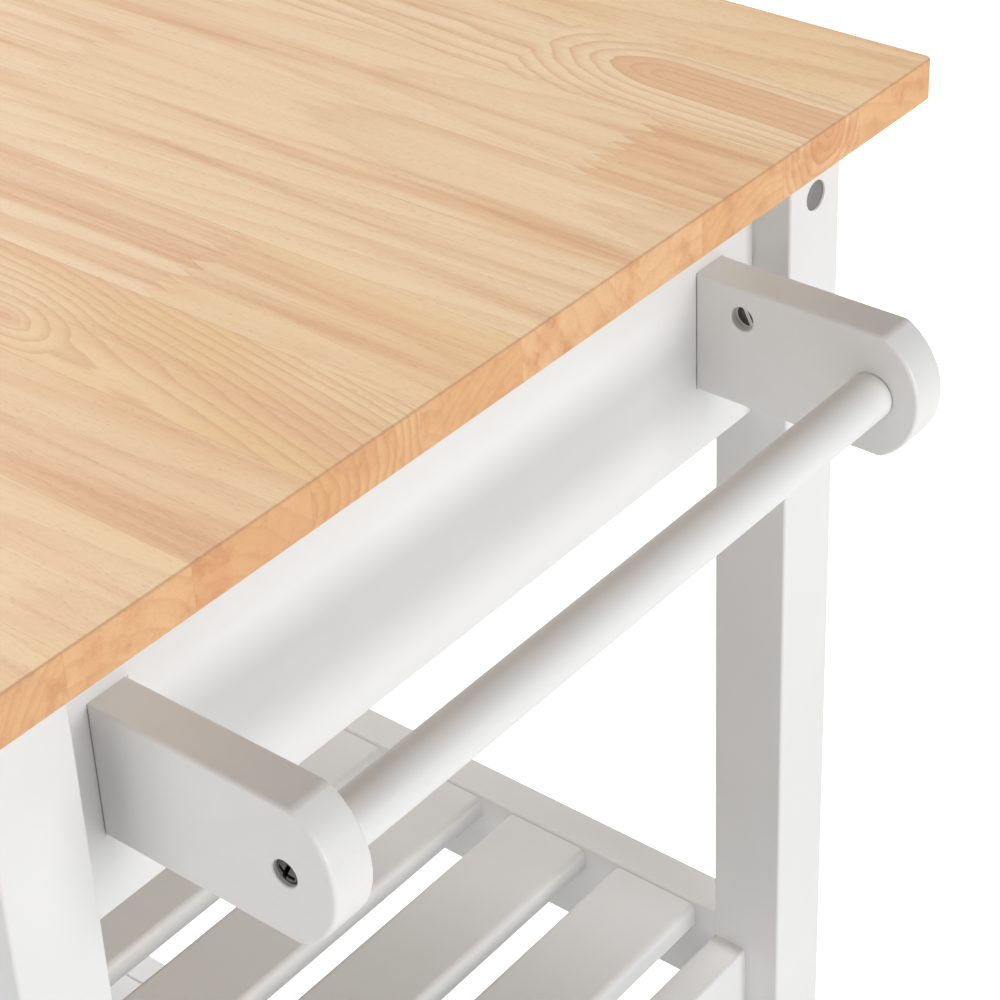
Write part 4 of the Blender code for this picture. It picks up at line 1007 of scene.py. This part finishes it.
class CART_OT_casters(bpy.types.Operator):
    """Build the casters: stem and race, fork, wheel with tyre and hub, and brake pedals"""

    bl_idname = "cart.casters"
    bl_label = "Casters"

    plate: length("Plate", "Thickness of the fork's sheet steel", 0.0020)
    cheek_gap: length("Cheek gap", "From the wheel to the fork's cheeks", 0.0015)
    web: length("Web", "Thickness of the fork's round web", 0.0025)
    eye: length("Eye", "Radius of the cheeks around the axle", 0.0075)
    axle: length("Axle", "Radius of the riveted axle", 0.0040)
    shoulder: length("Shoulder", "Half width of the cheeks at the web", 0.0090)
    pivot_rise: length("Pivot rise", "Height of the pedal's pivot above the axle", 0.0170)
    pedal_plate: length("Pedal plate", "Thickness of the pedal's arms", 0.0018)
    pedal_tilt: FloatProperty(name="Pedal tilt", description="Tilt with the brake on",
                              default=0.262, subtype="ANGLE")
    tread: length("Tread", "Length of the pedal's tread", 0.0130)
    tread_half: length("Half tread", "Half the thickness of the pedal's tread", 0.0015)

    def execute(self, context):
        for corner in CORNERS:
            self.stem(context, corner)
            self.fork(context, corner)
            self.wheel(context, corner)
        for corner in CORNERS[:2]:
            self.pedal(context, corner)
        return {"FINISHED"}

    def stem(self, context, corner):
        """Flange, ball race and kingpin head, all turned about the swivel axis."""
        low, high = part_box("caster_stem_" + corner)
        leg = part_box("leg_" + corner)[0].z
        fork_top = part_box("caster_fork_" + corner)[1].z
        flange = (high.x - low.x) / 2
        pin_head = 0.0065
        pin_neck = 0.0040
        pin_top = low.z + 0.0018
        race_low = fork_top + 0.0004
        flange_low = leg - 0.0033
        flange_top = leg - 0.0003
        corners = [(0, low.z), (pin_head, low.z), (pin_head, pin_top), (pin_neck, pin_top),
                   (pin_neck, race_low), (flange * 0.74, race_low), (flange * 0.78, flange_low),
                   (flange, flange_low), (flange, flange_top), (0, flange_top)]
        radii = (0.0001, 0.0006, 0.0003, 0.0002, 0.0002, 0.0008, 0.0006, 0.0008, 0.0003, 0.0001)
        piece = turned("caster_race_" + corner, open_fillet(corners, radii, 4), "Z",
                       ((low.x + high.x) / 2, (low.y + high.y) / 2, 0),
                       context.scene.cart_shape.sides)
        finish_piece(piece, finishes()["steel"], "frame", "caster_steel",
                     "caster_stem_" + corner)

    def side_plate(self, name, corners, radii, center, low, high, edge):
        """An outline in X and Z around a centre, carried along Y from low to high."""
        corners = [(up + center.z, across + center.x) for across, up in corners][::-1]
        outline = filleted(corners, radii[::-1], 4)
        return carried(name, outline, "Y", (0, 0, 0), low, high, edge, 3)

    def fork(self, context, corner):
        """A round web over two cheeks that hold the riveted axle and the pedal's studs."""
        shape = context.scene.cart_shape
        low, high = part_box("caster_fork_" + corner)
        stem = sum(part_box("caster_stem_" + corner), Vector()) / 2
        wheel_low, wheel_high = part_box("caster_wheel_" + corner)
        middle = (wheel_low + wheel_high) / 2
        inner = (wheel_high.y - wheel_low.y) / 2 + self.cheek_gap
        outer = inner + self.plate
        top = high.z - middle.z
        trail = stem.x - middle.x
        eye_span = 0.97 * np.pi
        angle = -0.85 * np.pi + eye_span * (np.arange(3) + 0.5) / 3
        reach = self.eye / np.cos(eye_span / 6)
        corners = [(trail - self.shoulder, top), (trail - self.shoulder, top - 2 * self.web)]
        corners += (np.stack([np.cos(angle), np.sin(angle)], 1) * reach).tolist()
        corners += [(self.eye, self.pivot_rise), (trail + self.shoulder, top - self.web),
                    (trail + self.shoulder, top)]
        bend = self.eye * 0.97
        radii = (0.0004, 0.0030, bend, bend, bend, 0.0060, 0.0020, 0.0004)
        body = "fork_" + corner
        pieces = []
        for side, start in ((-1, middle.y - outer), (1, middle.y + inner)):
            pieces.append(self.side_plate("caster_cheek_%s_%d" % (corner, side), corners, radii,
                                          middle, start, start + self.plate,
                                          shape.metal_edge))
        radius = stem.x - low.x
        bore = radius * 0.42
        web_low = high.z - self.web
        ring = filleted([(bore, web_low), (radius, web_low), (radius, high.z), (bore, high.z)],
                        (0.0003, 0.0009, 0.0009, 0.0003), 4)[0]
        pieces.append(turned("caster_web_" + corner, ring, "Z", (stem.x, stem.y, 0),
                             shape.sides))
        rivet = self.axle * 1.25
        half = (high.y - low.y) / 2
        dome = half - outer
        profile = open_fillet([(0, -half), (rivet * 0.8, -half), (rivet, -outer),
                               (self.axle, -outer), (self.axle, outer), (rivet, outer),
                               (rivet * 0.8, half), (0, half)],
                              (0.001, dome * 0.9, 0.0001, 0.0001, 0.0001, 0.0001, dome * 0.9,
                               0.001), 4)
        pieces.append(turned("caster_axle_" + corner, profile, "Y", middle, 48))
        if corner.startswith("front"):
            pieces.append(self.studs(corner, middle, outer))
        for piece in pieces:
            finish_piece(piece, finishes()["steel"], body, "caster_steel",
                         "caster_fork_" + corner)

    def studs(self, corner, middle, outer):
        """The pedal's two studs, made as one pin with flat heads."""
        neck = 0.0019
        head = 0.0031
        proud = 0.0008
        head_thickness = 0.0007
        half = outer + self.pedal_plate + proud
        base = half - head_thickness
        profile = open_fillet([(0, -half), (head, -half), (head, -base), (neck, -base),
                               (neck, base), (head, base), (head, half), (0, half)],
                              (0.001, 0.0004, 0.0001, 0.0001, 0.0001, 0.0001, 0.0004, 0.001),
                              3)
        place = (middle.x, middle.y, middle.z + self.pivot_rise)
        return turned("pedal_pin_" + corner, profile, "Y", place, 32)

    def wheel(self, context, corner):
        """A tyre with a rounded tread over a dished hub, both turned about the axle."""
        low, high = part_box("caster_wheel_" + corner)
        middle = (low + high) / 2
        radius = (high.z - low.z) / 2
        half = (high.y - low.y) / 2
        tyre_height = 0.004
        tyre_inset = 0.001
        rim = radius - tyre_height
        tyre = filleted([(rim, -half + tyre_inset), (radius, -half + tyre_inset),
                         (radius, half - tyre_inset), (rim, half - tyre_inset)],
                        (0.0004, 0.0028, 0.0028, 0.0004), 6)[0]
        bore = 0.00415
        boss = 0.009
        boss_root = 0.0095
        dish = half * 0.5
        rim_root = rim - 0.002
        rim_inner = rim - 0.0012
        rim_outer = rim - 0.0001
        lip = 0.0006
        hub = filleted([(bore, -half), (boss, -half), (boss_root, -dish), (rim_root, -dish),
                        (rim_inner, -half + lip), (rim_outer, -half + lip),
                        (rim_outer, half - lip), (rim_inner, half - lip), (rim_root, dish),
                        (boss_root, dish), (boss, half), (bore, half)],
                       (0.0003, 0.0006, 0.0008, 0.0008, 0.0003, 0.0002, 0.0002, 0.0003, 0.0008,
                        0.0008, 0.0006, 0.0003), 3)[0]
        sides = context.scene.cart_shape.sides
        body = "wheel_" + corner
        tread = turned("wheel_tyre_" + corner, tyre, "Y", middle, sides)
        finish_piece(tread, finishes()["rubber"], body, "tyre_rubber", "caster_wheel_" + corner)
        center = turned("wheel_hub_" + corner, hub, "Y", middle, sides)
        finish_piece(center, finishes()["hub"], body, "tyre_rubber")

    def pedal(self, context, corner):
        """Two arms outside the fork and a ribbed tread, all tilted by the pressed angle.

        A point at (x, z) from the pivot goes to (x cos t + z sin t, z cos t - x sin t).
        """
        shape = context.scene.cart_shape
        low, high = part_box("brake_pedal_" + corner)
        wheel_low, wheel_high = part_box("caster_wheel_" + corner)
        pivot = (wheel_low + wheel_high) / 2
        pivot.z += self.pivot_rise
        half = (high.y - low.y) / 2
        turn_x = np.array((np.cos(self.pedal_tilt), np.sin(self.pedal_tilt)))
        turn_z = np.array((-np.sin(self.pedal_tilt), np.cos(self.pedal_tilt)))
        thick = self.tread_half
        end = (high.x - pivot.x - thick * turn_x[1]) / turn_x[0]
        start = end - self.tread

        def tilt(points):
            points = np.array(points)
            return np.stack([points @ turn_x, points @ turn_z], 1).tolist()

        ribs = 4
        pitch = (end - start) / ribs
        rib = 0.0006
        crest = []
        for number in range(ribs):
            at = end - (number + 0.15) * pitch
            crest += [(at, thick), (at - 0.2 * pitch, thick + rib),
                      (at - 0.5 * pitch, thick + rib), (at - 0.7 * pitch, thick)]
        corners = tilt([(start, -thick), (end, -thick), (end, thick)] + crest
                       + [(start, thick)])
        radii = [0.0006, 0.0012, 0.0004] + [0.0002] * len(crest) + [0.0004]
        tread = self.side_plate("pedal_tread_" + corner, corners, radii, pivot,
                                pivot.y - half, pivot.y + half, shape.metal_edge)
        body = "pedal_" + corner
        finish_piece(tread, finishes()["pedal"], body, "pedal_plastic", "brake_pedal_" + corner)
        round_end = 0.0045
        arm_end = (start + end) / 2
        rise = thick + 0.001
        corners = tilt([(-round_end, round_end), (-round_end, -round_end), (0, -round_end),
                        (arm_end, -rise), (arm_end, rise), (0, round_end)])
        bend = round_end * 0.97
        radii = [bend, bend, 0.001, 0.0008, 0.0008, 0.001]
        for side, first in ((-1, pivot.y - half), (1, pivot.y + half - self.pedal_plate)):
            arm = self.side_plate("pedal_arm_%s_%d" % (corner, side), corners, radii, pivot,
                                  first, first + self.pedal_plate, shape.metal_edge)
            finish_piece(arm, finishes()["pedal"], body, "pedal_plastic",
                         "brake_pedal_" + corner)


class CART_OT_studio(bpy.types.Operator):
    """Set up the floor, the surround, the lights and the camera"""

    bl_idname = "cart.studio"
    bl_label = "Studio"

    def execute(self, context):
        settings = context.scene.cart_studio
        self.camera(context, settings)
        self.floor(settings)
        self.surround(context, settings)
        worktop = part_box("worktop")
        inside = 0.20
        below = 0.15
        target = Vector((worktop[1].x - inside, 0.0, worktop[0].z - below))
        for name, place, size, power in (
                ("overhead", (-5.4, 0.9, 5.4), 3.6, settings.key),
                ("bar_side", (3.0, 0.35, 1.25), 1.2, settings.side),
                ("front_fill", (0.6, -2.8, 1.6), 2.0, settings.fill)):
            self.softbox(context, name, Vector(place), size, power, target)
        return {"FINISHED"}

    def camera(self, context, settings):
        """Place the camera from the corner of the end apron, back leg and worktop."""
        data = bpy.data.cameras.new("studio_camera")
        data.lens = settings.lens
        data.sensor_width = 36.0
        data.clip_start = 0.05
        data.clip_end = 50.0
        data.shift_y = -settings.drop
        camera = bpy.data.objects.new("studio_camera", data)
        context.scene.collection.objects.link(camera)
        around, up, roll = np.radians([settings.azimuth, settings.elevation, settings.roll])
        back = Vector((np.sin(around) * np.cos(up), -np.cos(around) * np.cos(up), np.sin(up)))
        right = Vector((np.cos(around), np.sin(around), 0.0))
        above = back.cross(right)
        across = right * np.cos(roll) + above * np.sin(roll)
        upward = above * np.cos(roll) - right * np.sin(roll)
        turn = Matrix((across, upward, back)).transposed()
        corner = Vector((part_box("end_apron_right")[1].x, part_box("leg_back_right")[0].y,
                         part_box("worktop")[0].z))
        offset = Vector((settings.camera_out, -settings.camera_near, settings.camera_up))
        camera.matrix_world = Matrix.Translation(corner + offset) @ turn.to_4x4()
        context.scene.camera = camera

    def floor(self, settings):
        """A wide pale floor that lights the cart as it is lit, and looks white."""
        half = 6.0
        points = np.array([[-half, -half, 0], [half, -half, 0], [half, half, 0],
                           [-half, half, 0]], float)
        floor = build_mesh("studio_floor", points, [[0, 1, 2, 3]])
        desk = Desk("studio_floor")
        dust = desk.noise(desk.stretch((3.0, 3.0, 3.0)), detail=2.0)
        base = desk.blend(desk.ramp(dust, 0.3, 0.7), (0.90, 0.90, 0.90), (0.88, 0.88, 0.88))
        seen = desk.add("ShaderNodeLightPath").outputs["Is Camera Ray"]
        desk.feed(desk.shader.inputs["Emission Strength"],
                  desk.math("MULTIPLY", seen, settings.floor_glow))
        desk.surface(base, 0.9, Emission_Color=(1.0, 1.0, 1.0, 1.0))
        floor.data.materials.append(desk.material)

    def surround(self, context, settings):
        """White to look at, and a dimmer white as a light."""
        world = bpy.data.worlds.new("studio_surround")
        world.use_nodes = True
        nodes = world.node_tree.nodes
        links = world.node_tree.links
        lighting = nodes["Background"]
        lighting.inputs["Color"].default_value = (1.0, 1.0, 1.0, 1.0)
        lighting.inputs["Strength"].default_value = settings.sky
        seen = nodes.new("ShaderNodeBackground")
        seen.inputs["Color"].default_value = (1.0, 1.0, 1.0, 1.0)
        path = nodes.new("ShaderNodeLightPath")
        mix = nodes.new("ShaderNodeMixShader")
        links.new(path.outputs["Is Camera Ray"], mix.inputs[0])
        links.new(lighting.outputs[0], mix.inputs[1])
        links.new(seen.outputs[0], mix.inputs[2])
        links.new(mix.outputs[0], nodes["World Output"].inputs["Surface"])
        context.scene.world = world
        context.scene.view_settings.view_transform = "Standard"

    def softbox(self, context, name, place, size, power, target):
        data = bpy.data.lights.new(name, "AREA")
        data.shape = "SQUARE"
        data.size = size
        data.energy = power
        light = bpy.data.objects.new(name, data)
        light.location = place
        light.rotation_euler = (place - target).to_track_quat("Z", "Y").to_euler()
        context.scene.collection.objects.link(light)


# ---- panel and registration -----------------------------------------------------------

STEPS = (CART_OT_worktop, CART_OT_frame, CART_OT_shelves, CART_OT_towel_bar, CART_OT_drawers,
         CART_OT_casters, CART_OT_studio)


class CART_PT_panel(bpy.types.Panel):
    """The cart's operators and settings in the 3D view's sidebar"""

    bl_idname = "CART_PT_panel"
    bl_label = "Kitchen Island Cart"
    bl_space_type = "VIEW_3D"
    bl_region_type = "UI"
    bl_category = "Cart"

    def draw(self, context):
        for step in STEPS:
            self.layout.operator(step.bl_idname)
        for name, group in SETTINGS:
            box = self.layout.box()
            box.label(text=group.__name__)
            for key in group.__annotations__:
                box.prop(getattr(context.scene, name), key)


def register():
    for _, group in SETTINGS:
        bpy.utils.register_class(group)
    for step in STEPS:
        bpy.utils.register_class(step)
    bpy.utils.register_class(CART_PT_panel)
    for name, group in SETTINGS:
        setattr(bpy.types.Scene, name, PointerProperty(type=group))


def unregister():
    for name, _ in SETTINGS:
        delattr(bpy.types.Scene, name)
    bpy.utils.unregister_class(CART_PT_panel)
    for step in reversed(STEPS):
        bpy.utils.unregister_class(step)
    for _, group in reversed(SETTINGS):
        bpy.utils.unregister_class(group)


def main():
    register()
    bpy.ops.cart.studio()
    bpy.ops.cart.worktop()
    bpy.ops.cart.frame()
    bpy.ops.cart.shelves()
    bpy.ops.cart.towel_bar()
    bpy.ops.cart.drawers()
    bpy.ops.cart.casters()


if __name__ == "__main__":
    main()
